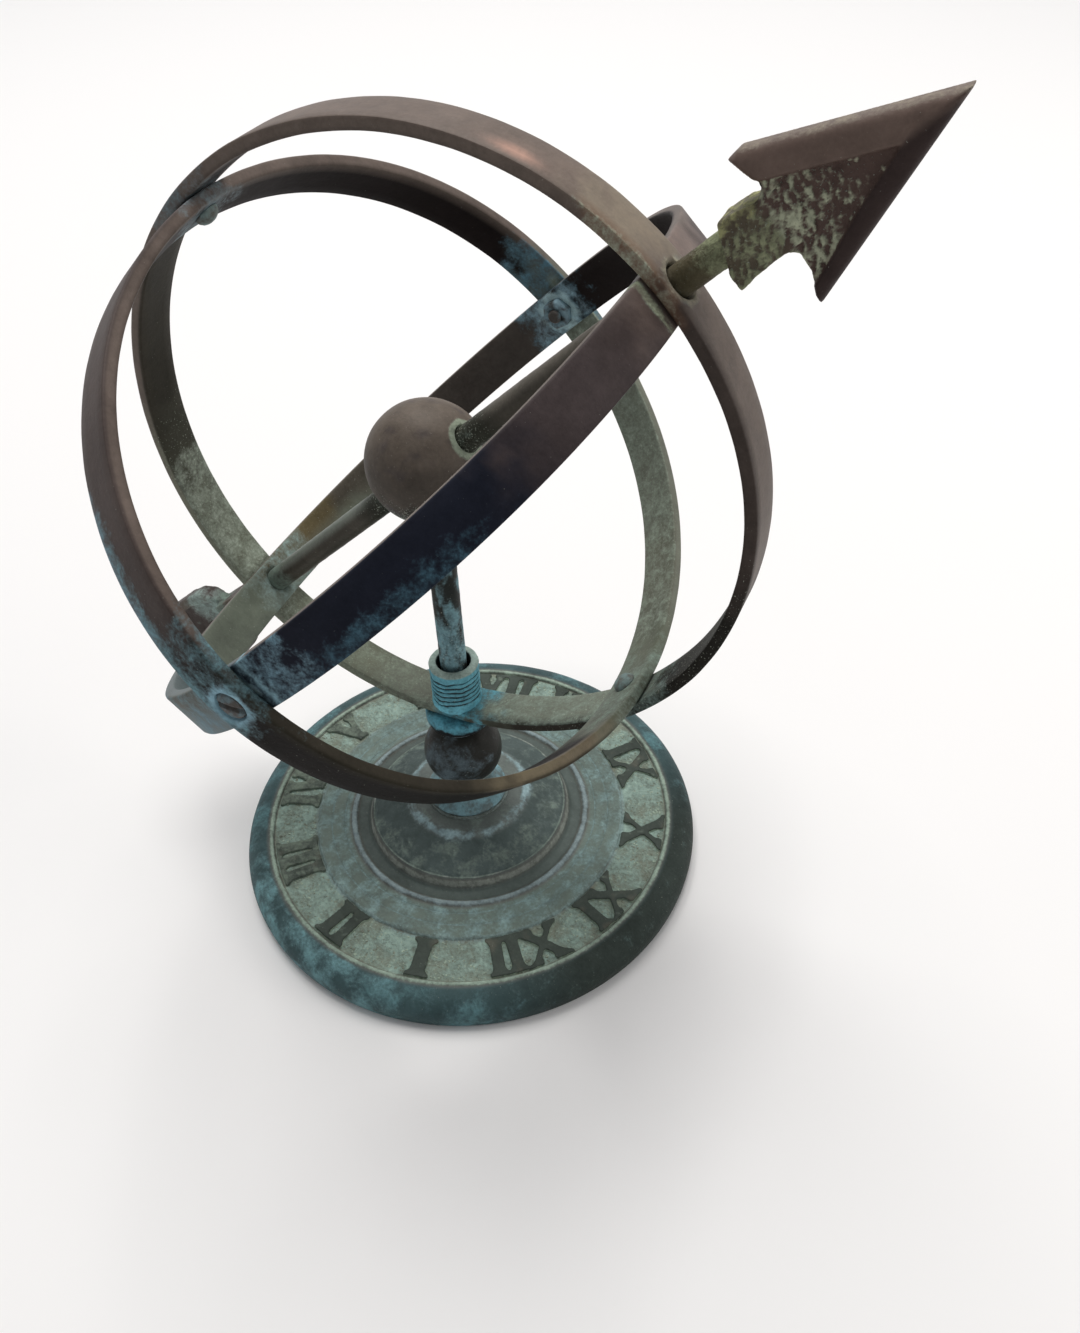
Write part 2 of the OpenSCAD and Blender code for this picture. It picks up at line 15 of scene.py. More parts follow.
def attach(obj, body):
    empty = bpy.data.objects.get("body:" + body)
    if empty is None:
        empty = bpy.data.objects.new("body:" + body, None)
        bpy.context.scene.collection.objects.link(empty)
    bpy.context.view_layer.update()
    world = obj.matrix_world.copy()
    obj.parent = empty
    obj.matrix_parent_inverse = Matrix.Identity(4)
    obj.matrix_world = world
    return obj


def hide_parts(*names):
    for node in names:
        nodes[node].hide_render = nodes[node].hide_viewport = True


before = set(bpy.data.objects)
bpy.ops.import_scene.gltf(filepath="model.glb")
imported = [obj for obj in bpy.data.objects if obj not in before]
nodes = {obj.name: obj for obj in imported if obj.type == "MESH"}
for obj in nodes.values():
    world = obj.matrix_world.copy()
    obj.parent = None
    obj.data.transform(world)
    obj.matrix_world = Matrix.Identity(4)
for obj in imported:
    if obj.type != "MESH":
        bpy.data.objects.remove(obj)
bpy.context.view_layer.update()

# %% [markdown]
# ## Sizes
# The same sizes as the solids. The hoops are bent from flat bar and nest inside each other at their
# crossings. Each is a slight oval with two radii to the middle of its bar: A lies on the pole line, C above
# it and E beside it. HOUR_BOW is how far the hour hoop bulges between the two. The pole line leans 43.5
# degrees above the level through the hoops' centre, the hub.

# %% Sizes and the pole line's own directions
MM = 0.001
HUB = 150.29
POLE = math.radians(43.5)
BAR_W, BAR_T, NEST = 12.7, 3.2, 3.8
MER_A, MER_C = 87.9, 85.4
EQU_C = MER_C - NEST
EQU_E = EQU_C + 7.5
HOUR_A, HOUR_E, HOUR_BOW = MER_A - NEST, EQU_E - NEST, 2.0
HOUR_LEAN, EQU_LEAN = math.radians(1.9), math.radians(1.0)
HOOP_LOW = HUB - 88.3
ROD_R = 3.5
ROD_HOLE = ROD_R + 0.1
BALL_R, BALL_LIFT = 16.2, 1.5
AXIS = np.array([math.cos(POLE), 0.0, math.sin(POLE)])
ABOVE = np.array([-math.sin(POLE), 0.0, math.cos(POLE)])
POLAR = np.stack([AXIS, (0, 1, 0), ABOVE], axis=1)
CENTRE = np.array([0, 0, HUB])
FLAT = np.array([1, 1, 0])


def from_polar(points):
    """Points along, beside and above the pole line, turned to the frame. All in millimetres."""
    return np.asarray(points, float) @ POLAR.T + CENTRE


def to_polar(points):
    return (np.asarray(points, float) - CENTRE) @ POLAR


print("the hoops' centre lies", HUB, "mm above the table")

# %% [markdown]
# ## Small tools
# A mesh is made from points and faces. A lathe turns an outline of radius and height about an axis, which
# suits every rod, ball, nut and dial here.

# %% Mesh tools
def new_mesh(name, points, faces):
    mesh = bpy.data.meshes.new(name)
    mesh.from_pydata((np.asarray(points, float) * MM).tolist(), [], [tuple(int(i) for i in f) for f in faces])
    mesh.validate()
    mesh.update()
    mesh.polygons.foreach_set("use_smooth", [True] * len(mesh.polygons))
    piece = bpy.data.objects.new(name, mesh)
    bpy.context.scene.collection.objects.link(piece)
    return piece


def points_of(piece):
    co = np.zeros(len(piece.data.vertices) * 3, np.float32)
    piece.data.vertices.foreach_get("co", co)
    return co.reshape(-1, 3).astype(float) / MM


def set_points(piece, points):
    piece.data.vertices.foreach_set("co", (np.asarray(points) * MM).astype(np.float32).ravel())
    piece.data.update()


def around_ring(count):
    """Each step of a ring with the next one."""
    return [(i, (i + 1) % count) for i in range(count)]


def lathe_mesh(outline, around, closed=False):
    """Points and faces of an outline of (radius, height) pairs turned about Z. The outline runs so that the
    solid is on its left hand, which makes the faces look outward."""
    t = np.arange(around) * 2 * math.pi / around
    ring = np.stack([np.cos(t), np.sin(t)], axis=1)
    points = np.concatenate([np.column_stack([ring * r, np.full(around, z)]) for r, z in outline])
    faces = []
    count = len(outline)
    for i, j in around_ring(count)[:count if closed else -1]:
        i, j = i * around, j * around
        faces += [(i + k, i + m, j + m, j + k) for k, m in around_ring(around)]
    if not closed:
        faces.append(tuple(range(around))[::-1])
        faces.append(tuple(range((count - 1) * around, count * around)))
    return points, faces


def smooth_outline(corners, step, soft):
    """An outline with its corners cut by small curves and its long lines divided."""
    corners = np.asarray(corners, float)
    out = [corners[0]]
    for a, b, c in zip(corners, corners[1:], corners[2:]):
        la, lc = np.linalg.norm(b - a), np.linalg.norm(c - b)
        cut_back = min(soft, la * 0.45, lc * 0.45)
        p, q = b + (a - b) / la * cut_back, b + (c - b) / lc * cut_back
        for s in (0.0, 0.5, 1.0):
            out.append((1 - s) ** 2 * p + 2 * s * (1 - s) * b + s * s * q)
    out.append(corners[-1])
    full = [out[0]]
    for p in out[1:]:
        start = full[-1]
        n = max(1, int(round(np.linalg.norm(p - start) / step)))
        full += [start + (p - start) * (k + 1) / n for k in range(n)]
    return np.array(full)


def aimed(points, way, origin):
    """Points drawn up the Z axis, turned to run along a direction from an origin."""
    way = Vector((np.asarray(way, float) / np.linalg.norm(way)).tolist())
    turn = np.array(Vector((0, 0, 1)).rotation_difference(way).to_matrix())
    return np.asarray(points) @ turn.T + np.asarray(origin, float)


def lathe_along(name, outline, origin, way, around=64):
    """A lathe piece whose outline starts at a place of the frame and runs along a direction."""
    points, faces = lathe_mesh(outline, around)
    return new_mesh(name, aimed(points, way, origin), faces)


def joined(name, parts):
    """One piece from several pairs of points and faces."""
    points, faces = [], []
    for part_points, part_faces in parts:
        faces += [tuple(i + len(points) for i in f) for f in part_faces]
        points += [tuple(p) for p in part_points]
    return new_mesh(name, points, faces)


print("mesh tools ready")

# %% [markdown]
# Drills are shapes to take away, and a cast shape is joined and rounded by modifiers. Each result is
# turned back into plain mesh at once, so that what follows can move its points.

# %% Modifiers
def bake(piece):
    """Turns a piece's modifiers into plain mesh."""
    bpy.context.view_layer.update()
    graph = bpy.context.evaluated_depsgraph_get()
    mesh = bpy.data.meshes.new_from_object(piece.evaluated_get(graph), depsgraph=graph)
    piece.modifiers.clear()
    piece.data = mesh
    mesh.polygons.foreach_set("use_smooth", [True] * len(mesh.polygons))


def cut(piece, *tools):
    """Takes tool shapes away from a piece, and removes them."""
    for tool in tools:
        mod = piece.modifiers.new("cut", "BOOLEAN")
        mod.operation, mod.solver, mod.object = "DIFFERENCE", "EXACT", tool
    bake(piece)
    for tool in tools:
        bpy.data.objects.remove(tool)


def drill(start, end, radius, around=32):
    """A plain round bar between two places of the frame, to cut with."""
    way = np.asarray(end, float) - start
    return lathe_along("drill", [(radius, 0), (radius, np.linalg.norm(way))], start, way, around)


def soften(piece, voxel, rounds):
    """Joins the parts of a casting by a voxel remesh and rounds its edges."""
    mod = piece.modifiers.new("join", "REMESH")
    mod.mode, mod.voxel_size = "VOXEL", voxel * MM
    bake(piece)
    piece.modifiers.new("round", "SMOOTH").iterations = rounds
    bake(piece)


print("modifier tools ready")

# %% [markdown]
# Noise is a sum of a few sine waves in fixed directions, so it gives the same lumps each time. It moves
# points by a fraction of a millimetre, and breaks up the colours.

# %% Noise and soft masks
def waves(points, size, seed):
    """Smooth noise from -1 to 1 with lumps about as wide as size, in millimetres."""
    rng = np.random.default_rng(seed)
    total = np.zeros(len(points))
    weight = 0.0
    for octave in range(3):
        for _ in range(6):
            direction = rng.normal(size=3)
            direction /= np.linalg.norm(direction)
            speed = 2 * math.pi / (size * rng.uniform(0.7, 1.5)) * 2 ** octave
            total += np.sin(points @ direction * speed + rng.uniform(0, 6.28)) * 0.5 ** octave
            weight += 0.5 ** octave
    return total / weight * 1.9


def uneven(points, size, seed, middle, swing):
    """Noise around a middle value, kept from 0 to 1."""
    return np.clip(middle + waves(points, size, seed) * swing, 0, 1)


def ease(low, high, x):
    t = np.clip((x - low) / (high - low), 0, 1)
    return t * t * (3 - 2 * t)


def unit(rows):
    """Directions of length 1."""
    return rows / np.maximum(np.linalg.norm(rows, axis=1), 1e-6)[:, None]


print("noise from", waves(np.eye(3), 1, 1).round(2))

# %% [markdown]
# ## Where colours lie
# A patina belongs to its place: salts creep out from joints, and faces that rain washes stay bare. So each
# piece carries its colours on its mesh. Tones are written as they look in the photo's daylight, 0 to 255.

# %% Colours and amounts on a mesh
ROOM_LIGHT = 0.98
BROWN, COPPER, NAVY = (118, 103, 92), (186, 146, 128), (27, 31, 42)
DULL, GREEN_BLACK, PALE_GREEN = (90, 80, 73), (30, 31, 27), (156, 168, 150)
BLUE, PALE_BLUE, TURQUOISE = (76, 110, 124), (128, 158, 170), (84, 152, 168)


def seen(tone):
    """The surface colour that shows a tone in the light of this room."""
    return np.array([ROOM_LIGHT * (((c / 255) + 0.055) / 1.055) ** 2.4 for c in tone])


class Patina:
    """Where the colours of a piece lie: the metal, the salts on it, their share, pale specks and grit."""

    def __init__(self, piece, metal, salts=BLUE):
        self.piece = piece
        self.count = len(piece.data.vertices)
        self.metal, self.salts = np.tile(seen(metal), (self.count, 1)), np.tile(seen(salts), (self.count, 1))
        self.share, self.speck, self.grit = np.zeros(self.count), 0, 0

    def stain_and_painted_light(self, where, tone):
        """Gives the metal another tone, which serves both real stains and painted light and shade."""
        where = np.clip(where, 0, 1)[:, None]
        self.metal = self.metal * (1 - where) + seen(tone) * where

    def crust(self, where, tone=None):
        """Lays salts on the metal, and gives them another tone if one is named."""
        if tone is not None:
            take = ease(0.02, 0.3, where)[:, None]
            self.salts = self.salts * (1 - take) + seen(tone) * take
        self.share = np.maximum(self.share, np.clip(where, 0, 1))


def settle(patina, material, body, slot, *replaced):
    """Writes the patina on its piece, with the material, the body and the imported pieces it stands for."""
    piece = patina.piece
    layers = piece.data.attributes
    for name in ("metal", "salts"):
        colours = np.column_stack([getattr(patina, name), np.ones(patina.count)]).astype(np.float32)
        layers.new(name, "FLOAT_COLOR", "POINT").data.foreach_set("color", colours.ravel())
    for name in ("share", "speck", "grit"):
        values = np.full(patina.count, np.clip(getattr(patina, name), 0, 1), np.float32)
        layers.new(name, "FLOAT", "POINT").data.foreach_set("value", values)
    piece.data.materials.clear()
    piece.data.materials.append(material)
    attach(piece, body)
    if replaced:
        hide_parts(*replaced)
    print(piece.name, len(piece.data.polygons), "faces")


print("daylight white is", seen((255, 255, 255)))

# %% [markdown]
# ## Nodes
# Materials and shapes are both made of joined nodes, so one helper adds a node with its settings and gives
# each input a value or the output of another node.

# %% Node tools
def feed(tree, node, inputs):
    for key, value in inputs.items():
        if isinstance(value, bpy.types.NodeSocket):
            tree.links.new(value, node.inputs[key])
        else:
            node.inputs[key].default_value = value


def add(tree, kind, inputs=None, **settings):
    """Adds a node and gives back its outputs. Inputs go by name, or by number where names repeat."""
    node = tree.nodes.new(kind)
    for key, value in settings.items():
        setattr(node, key, value)
    feed(tree, node, inputs or {})
    return node.outputs


def math_node(tree, operation, a, b):
    return add(tree, "ShaderNodeMath", {0: a, 1: b}, operation=operation)[0]


def total(tree, *parts):
    """A sum of values and of pairs of a value and its weight."""
    out = None
    for part in parts:
        term = math_node(tree, "MULTIPLY", *part) if isinstance(part, tuple) else part
        out = term if out is None else math_node(tree, "ADD", out, term)
    return out


print("node tools ready")

# %% [markdown]
# ## The bronze
# One recipe makes every bronze here. Colours and amounts on the mesh say which tone the metal has at each
# place, which salts lie on it and how much of it they cover. Noise at three sizes shades them and breaks
# their borders, so that they look grown and not painted. Salts are dull, and bare metal has a soft shine.

# %% The patina material
SPECK_TONE = (186, 192, 176)
BUMP_HEIGHT = 0.0006


def ramp(tree, value, low, high):
    return add(tree, "ShaderNodeMapRange", {"Value": value, "From Min": low, "From Max": high},
               interpolation_type="SMOOTHSTEP")["Result"]


def blend_colour(tree, share, a, b):
    return add(tree, "ShaderNodeMix", {0: share, 6: a, 7: b}, data_type="RGBA")[2]


def noise(tree, where, scale, detail, rough, warp=0.0):
    return add(tree, "ShaderNodeTexNoise", {"Vector": where, "Scale": scale, "Detail": detail,
                                            "Roughness": rough, "Distortion": warp})["Fac"]


def shaded(tree, colour, shade, darkest):
    """A colour made lighter or darker by a value around 1."""
    scale = math_node(tree, "MAXIMUM", shade, darkest)
    return add(tree, "ShaderNodeVectorMath", {0: colour, "Scale": scale}, operation="SCALE")[0]


def bronze(name, size=1.0, bump=0.3, shine=0.5, mottle=1.0, metal=None, salts=None, share=0.0):
    """A bronze whose colours come from the mesh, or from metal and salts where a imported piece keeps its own
    mesh. size scales the lumps of the noise, and mottle says how strongly it shades the colours."""
    material = bpy.data.materials.new(name)
    material.use_nodes = True
    tree = material.node_tree
    where = add(tree, "ShaderNodeTexCoord")["Object"]
    wide = noise(tree, where, 48 / size, 4, 0.55, 0.5)
    middle = noise(tree, where, 240 / size, 6, 0.62, 0.5)
    fine = noise(tree, where, 1050 / size, 4, 0.65)

    def source(label, given):
        coloured = label in ("metal", "salts")
        if metal is None:
            return add(tree, "ShaderNodeAttribute", attribute_name=label)["Color" if coloured else "Fac"]
        value = add(tree, "ShaderNodeRGB" if coloured else "ShaderNodeValue")[0]
        value.default_value = (*seen(given), 1) if coloured else given
        return value

    body_shade = total(tree, (wide, 0.55 * mottle), (middle, 0.5 * mottle), (fine, 0.3 * mottle),
                       1 - 0.675 * mottle)
    crust_shade = total(tree, (middle, 0.8 * mottle), (fine, 0.8 * mottle), 1 - 0.8 * mottle)
    body = shaded(tree, source("metal", metal), body_shade, 0.15)
    crust = shaded(tree, source("salts", salts), crust_shade, 0.2)
    cover = ramp(tree, total(tree, source("share", share), (middle, 0.75), (fine, 0.45), -0.6), 0.22, 0.78)
    dust = noise(tree, where, 2100 / size, 2, 0.5, 0.3)
    dots = ramp(tree, total(tree, dust, (source("speck", 0.02), 0.2)), 0.745, 0.86)
    crusted = blend_colour(tree, cover, body, crust)
    colour = blend_colour(tree, math_node(tree, "MULTIPLY", dots, 0.5), crusted, (*seen(SPECK_TONE), 1))
    dull = math_node(tree, "MAXIMUM", cover, dots)
    bright = add(tree, "ShaderNodeRGBToBW", {0: colour})[0]
    relief = add(tree, "ShaderNodeBump", {
        "Strength": total(tree, (source("grit", 0.0), 1.6 * bump), bump), "Distance": BUMP_HEIGHT * size,
        "Height": total(tree, (cover, 0.45), (middle, 0.6), (fine, 0.4), (dots, 0.5))})[0]
    feed(tree, tree.nodes["Principled BSDF"], {
        "Base Color": colour, "Normal": relief, "Metallic": total(tree, (dull, -0.12), 0.12),
        "Roughness": total(tree, (dull, 0.86 - shine), (middle, 0.2), shine - 0.1),
        "Specular IOR Level": math_node(tree, "MINIMUM", total(tree, (bright, 2.4), 0.01), 0.3)})
    return material


hoop_bronze = bronze("hoop_bronze", bump=0.28, shine=0.55, mottle=1.35)
stem_bronze = bronze("stem_bronze", shine=0.42, mottle=1.3)
socket_bronze = bronze("socket_bronze", bump=0.45, shine=0.55, mottle=1.5)
rod_bronze = bronze("rod_bronze", bump=0.4, mottle=1.4)
ball_bronze = bronze("ball_bronze", shine=0.56, bump=0.3, mottle=1.4)
arrow_bronze = bronze("arrow_bronze", bump=0.35, shine=0.5, mottle=1.1)
fastener_bronze = bronze("fastener_bronze", shine=0.45)
dial_bronze = bronze("dial_bronze", size=1.15, bump=0.5, shine=0.6, mottle=1.6)
print("bronzes:", [m.name for m in bpy.data.materials if m.name.endswith("bronze")])

# %% [markdown]
# ## Trees that make shapes
# A Geometry Nodes tree starts with named inputs and ends in Realize Instances and Set Material, because
# only real mesh with its material is exported. Two trees are made below, one for bars and one for grains.

# %% The start and end of a tree
def new_tree(name, sizes):
    """A tree with named inputs. Gives the tree, its inputs as outputs of a node, and their identifiers."""
    tree = bpy.data.node_groups.new(name, "GeometryNodeTree")
    kinds = {float: "NodeSocketFloat", int: "NodeSocketInt", type(None): "NodeSocketMaterial"}
    tree.interface.new_socket("Geometry", in_out="INPUT", socket_type="NodeSocketGeometry")
    tree.interface.new_socket("Geometry", in_out="OUTPUT", socket_type="NodeSocketGeometry")
    names = {}
    for label, value in sizes.items():
        socket = tree.interface.new_socket(label, in_out="INPUT", socket_type=kinds[type(value)])
        if value is not None:
            socket.default_value = value
        names[label] = socket.identifier
    return tree, tree.nodes.new("NodeGroupInput").outputs, names


def end_tree(tree, shape, material):
    real = add(tree, "GeometryNodeRealizeInstances", {0: shape})[0]
    painted = add(tree, "GeometryNodeSetMaterial", {"Geometry": real, "Material": material})[0]
    feed(tree, tree.nodes.new("NodeGroupOutput"), {0: painted})


def grow(piece, tree, names, values):
    """Runs a tree on a piece and keeps the plain mesh."""
    mod = piece.modifiers.new("grow", "NODES")
    mod.node_group = tree
    for label, value in values.items():
        mod[names[label]] = value
    bake(piece)


print("tree tools ready")

# %% [markdown]
# ## The hoops
# A flat bar that follows a bent path is just what a node tree can sweep: a circle is pulled into the
# hoop's oval, and a rectangle with eased corners runs round it. The three hoops come from one tree with
# different radii, as the bender would use one jig. On a circle x squared less y squared is the cosine of
# twice the angle, and 2xy its sine, so the oval needs no trigonometry.

# %% A node tree that bends a bar into a hoop
bend, given, hoop_inputs = new_tree("bent_hoop", {
    "First radius": 0.088, "Second radius": 0.085, "Bow": 0.0, "Bar width": BAR_W * MM,
    "Bar thickness": BAR_T * MM, "Eased corner": 0.0005, "Steps": 320, "Material": None})


def times(a, b):
    return math_node(bend, "MULTIPLY", a, b)


circle = add(bend, "GeometryNodeCurvePrimitiveCircle", {"Radius": 1.0, "Resolution": given["Steps"]})
split = add(bend, "ShaderNodeSeparateXYZ", {0: add(bend, "GeometryNodeInputPosition")[0]})
x, y = split[0], split[1]
first, second = given["First radius"], given["Second radius"]
double = times(times(x, y), 2.0)
radius = total(bend, (first, 0.5), (second, 0.5),
               (total(bend, (first, 0.5), (second, -0.5)), total(bend, (x, x), (times(y, y), -1.0))),
               (times(double, double), given["Bow"]))
place = add(bend, "ShaderNodeCombineXYZ", {0: times(x, radius), 1: times(y, radius)})
oval = add(bend, "GeometryNodeSetPosition", {"Geometry": circle["Curve"], "Position": place[0]})
path = add(bend, "GeometryNodeSetCurveNormal", {"Curve": oval[0]}, mode="Z_UP")
bar = add(bend, "GeometryNodeCurvePrimitiveQuadrilateral",
          {"Width": given["Bar thickness"], "Height": given["Bar width"]})
eased = add(bend, "GeometryNodeFilletCurve",
            {"Curve": bar["Curve"], "Count": 2, "Radius": given["Eased corner"]}, mode="POLY")
divided = add(bend, "GeometryNodeSubdivideCurve", {"Curve": eased["Curve"], "Cuts": 3})
swept = add(bend, "GeometryNodeCurveToMesh", {"Curve": path["Curve"], "Profile Curve": divided["Curve"]})
end_tree(bend, swept["Mesh"], given["Material"])
print("the hoops' tree has", len(bend.nodes), "nodes")

# %% [markdown]
# Each hoop is grown flat, made a little uneven as bent bar is, and turned from its own plane to its place.
# The equator hoop's angle and width are counted the other way round, which the last value says.

# %% The three hoops
def turn_x(a):
    return np.array([[1, 0, 0], [0, math.cos(a), -math.sin(a)], [0, math.sin(a), math.cos(a)]])


def turn_z(a):
    return np.array([[math.cos(a), -math.sin(a), 0], [math.sin(a), math.cos(a), 0], [0, 0, 1]])


HOOPS = {"meridian": (MER_A, MER_C, 0, np.array([[1, 0, 0], [0, 0, -1], [0, 1, 0]]), 1),
         "equator": (EQU_C, EQU_E, 0, turn_z(-EQU_LEAN) @ np.array([[0, 0, -1], [0, 1, 0], [1, 0, 0]]), -1),
         "hour": (HOUR_A, HOUR_E, HOUR_BOW, turn_x(HOUR_LEAN), 1)}
hoops = {}
for kind, (first, second, bow, turn, _) in HOOPS.items():
    hoop = hoops[kind] = new_mesh(kind + "_hoop_bar", [(0, 0, 0)], [])
    grow(hoop, bend, hoop_inputs, {"First radius": first * MM, "Second radius": second * MM,
                                   "Bow": bow * MM, "Material": hoop_bronze})
    p = points_of(hoop)
    lumps = waves(p, 26, 5) * 0.07 + waves(p, 7, 6) * 0.03
    set_points(hoop, p + unit(p * FLAT) * lumps[:, None])
    set_points(hoop, from_polar(points_of(hoop) @ turn.T))
    p = points_of(hoop)
    print(hoop.name, len(p), p.min(0).round(1), p.max(0).round(1))

# %% [markdown]
# The rods, rivets and screws pass through drilled holes. The meridian hoop's hole for the arrow is drilled
# well over size, so a dark crescent shows beside the rod. The screws' heads lie in shallow hollows.

# %% Drill the hoops
WIDE_HOLE, HOLLOW_R = 4.4, 4.05
SIDE_WAY = turn_z(-EQU_LEAN) @ turn_x(HOUR_LEAN) @ np.array([0, 1.0, 0])


def hole(x, radius):
    """A drill on the pole line, 30 mm long from a distance x along it."""
    return drill(from_polar((x, 0, 0)), from_polar((x + 30, 0, 0)), radius)


cut(hoops["meridian"], hole(70, WIDE_HOLE), hole(-100, ROD_HOLE))
cut(hoops["equator"], *[drill(from_polar(way * (EQU_E + 0.6)), from_polar(way * (EQU_E + 6)), HOLLOW_R)
                        for way in (SIDE_WAY, -SIDE_WAY)])
cut(hoops["hour"], hole(70, ROD_HOLE), hole(-100, ROD_HOLE))
print("drilled:", [len(hoop.data.vertices) for hoop in hoops.values()])

# %% [markdown]
# The patina lies by place. Metal tones come first: brown outside, nearly black inside, which is painted
# shade, navy black on the near side of the hour hoop and grey-green low down. Some entries darken faces that
# turn from the lamps, as painted shade. Then salts creep out from every crossing where water sat, and pale
# specks lie low down. Each entry gives an angle round the hoop, how far it reaches, how softly it ends, its
# faces, its tone and its strength.

# %% How a hoop is painted
def hoop_place(kind):
    """Angle round the hoop in degrees, -1 to 1 across the bar, and 1 outside to -1 inside."""
    first, second, bow, turn, flip = HOOPS[kind]
    u, v, w = (to_polar(points_of(hoops[kind])) @ turn * [1, flip, flip]).T
    angle = np.arctan2(v, u)
    mid = (first + second) / 2 + (first - second) / 2 * np.cos(2 * angle) + bow * np.sin(2 * angle) ** 2
    return np.degrees(angle), w / (BAR_W / 2), (np.hypot(u, v) - mid) / (BAR_T / 2)


def paint_hoop(kind, metal, tones_and_painted_shade, crusts, specks):
    angle, across, out = hoop_place(kind)
    ragged = waves(points_of(hoops[kind]), 9, 15) * 5
    faces = {"all": 1, "out": ease(0.2, 0.8, out), "in": ease(0.2, 0.8, -out),
             "front": ease(0.75, 0.98, across), "back": ease(0.75, 0.98, -across),
             "half_front": ease(-0.5, 0.6, across), "half_back": ease(-0.5, 0.6, -across)}

    def where(centre, reach, soft, face, strength):
        gap = np.abs((angle + ragged - centre + 180) % 360 - 180)
        mask = (1 - ease(reach, reach + soft, gap)) * strength
        for part in face.split():
            mask = mask * faces[part]
        return mask

    patina = Patina(hoops[kind], metal)
    for *place, tone, strength in tones_and_painted_shade:
        patina.stain_and_painted_light(where(*place, strength), tone)
    for *place, tone, strength in crusts:
        patina.crust(where(*place, strength), tone)
    patina.speck = np.max([where(*entry) for entry in specks], axis=0)
    return patina


def halo(patina, place, low, high, tone, strength):
    """A ring of salts between two distances from a place, which is given as for from_polar."""
    far = np.linalg.norm(to_polar(points_of(patina.piece)) - place, axis=1)
    patina.crust(ease(high, low, far) * strength, tone)


def contact(patina, place, axis, distance, tone, strength):
    """A thin line of salts where the edge of another hoop lies on this one."""
    q = to_polar(points_of(patina.piece))
    line = np.exp(-((np.abs(q[:, axis]) - distance) / 1.15) ** 2) * uneven(q, 4, 19, 0.85, 0.5)
    patina.crust(line * ease(24, 16, np.linalg.norm(q - place, axis=1)) * strength, tone)


print("the hour hoop starts at angles", hoop_place("hour")[0][:49:16].round(1))

# %% [markdown]
# The meridian hoop stands upright. It is the brownest, with a bare copper streak above the arrow's rod
# and turquoise low on its near edge.

# %% Patina on the meridian hoop
patina = paint_hoop("meridian", BROWN, [
    # painted shade: the inner faces, nearly black all round (first entry)
    (0, 180, 1, "in", (29, 24, 23), 0.97), (0, 180, 1, "front", DULL, 0.8), (0, 180, 1, "back", DULL, 0.5),
    (-35, 30, 15, "out", (94, 84, 77), 0.85), (-40, 40, 20, "front", (58, 50, 46), 0.85),
    # painted shade: at 48 degrees the outer face is darkened to damp the lamp's highlight there (first entry)
    (48, 22, 16, "out", (96, 84, 76), 0.85), (9, 3, 9, "out", (132, 122, 104), 0.6),
    (7, 4, 8, "front", (120, 88, 66), 0.6), (-78, 16, 18, "all", GREEN_BLACK, 0.85),
    (-118, 26, 14, "in", (118, 122, 106), 0.9), (-118, 26, 14, "front", GREEN_BLACK, 0.8),
    (-160, 30, 14, "all", (84, 88, 76), 0.85), (175, 24, 22, "all", (100, 104, 86), 0.85),
    (125, 20, 20, "in", (50, 48, 40), 0.8), (125, 20, 20, "out", (96, 86, 80), 0.7)], [
    (90, 3, 9, "all", (112, 130, 136), 0.5), (-90, 6, 12, "all", (104, 122, 116), 0.5),
    (-112, 12, 14, "in", (126, 140, 128), 0.5), (-133, 4, 6, "all", (84, 146, 160), 0.62),
    (-136, 5, 8, "front", TURQUOISE, 0.6), (8, 5, 10, "front", PALE_GREEN, 0.4),
    (-165, 20, 16, "all", (120, 130, 116), 0.42), (168, 14, 14, "in", (150, 160, 146), 0.5)], [
    (-80, 25, 20, "all", 0.6), (175, 30, 20, "all", 0.6), (-120, 22, 12, "in", 0.5)])
angle, across, out = hoop_place("meridian")
streak = np.exp(-((angle - 27) / 3.2) ** 2 - ((across - 0.35) / 0.22) ** 2) * (out > 0)
patina.stain_and_painted_light(streak * 1.1, COPPER)
halo(patina, (MER_A + 1.5, 0, 0), 4.6, 7.5, (150, 146, 128), 0.6)
settle(patina, hoop_bronze, "armillary", "hoops", "meridian_hoop")

# %% [markdown]
# The equator hoop is nearly black inside and low on its near side, both painted shade where its faces turn
# from the lamps, and grey-green low on its far side. Blue salts lie at its crossings, with a ring of them
# round the head of each side screw.

# %% Patina on the equator hoop
patina = paint_hoop("equator", (86, 75, 70), [
    # painted shade: the inner faces, nearly black all round (first entry)
    (0, 180, 1, "in", (23, 18, 18), 0.97), (0, 180, 1, "front", (100, 88, 80), 0.8),
    # painted shade: the low near arc at 118 degrees, near black outside and dark olive on its edge (here and
    # the next line)
    (45, 35, 25, "out", (66, 57, 54), 0.85), (118, 30, 14, "out", (20, 18, 17), 0.97),
    (118, 26, 16, "front", (46, 43, 35), 0.95), (154, 12, 14, "front", (106, 96, 74), 0.8),
    (160, 14, 10, "out", (52, 48, 38), 0.9), (-130, 44, 14, "all", (108, 112, 98), 0.9),
    (-158, 14, 10, "in", (84, 80, 64), 0.6), (180, 12, 12, "all", (94, 100, 84), 0.8)], [
    (76, 8, 14, "out half_back", (104, 140, 148), 0.45), (76, 14, 14, "back", (120, 148, 160), 0.72),
    (88, 6, 9, "all", (98, 134, 142), 0.42), (-80, 4, 9, "in", BLUE, 0.55), (-90, 4, 7, "all", BLUE, 0.5),
    (-128, 34, 14, "in", (134, 146, 132), 0.45), (0, 3, 9, "all", (112, 130, 136), 0.5),
    (178, 7, 12, "all", (118, 134, 124), 0.45)], [
    (-130, 40, 16, "all", 0.4), (178, 10, 10, "all", 0.4), (95, 30, 20, "out", 0.2)])
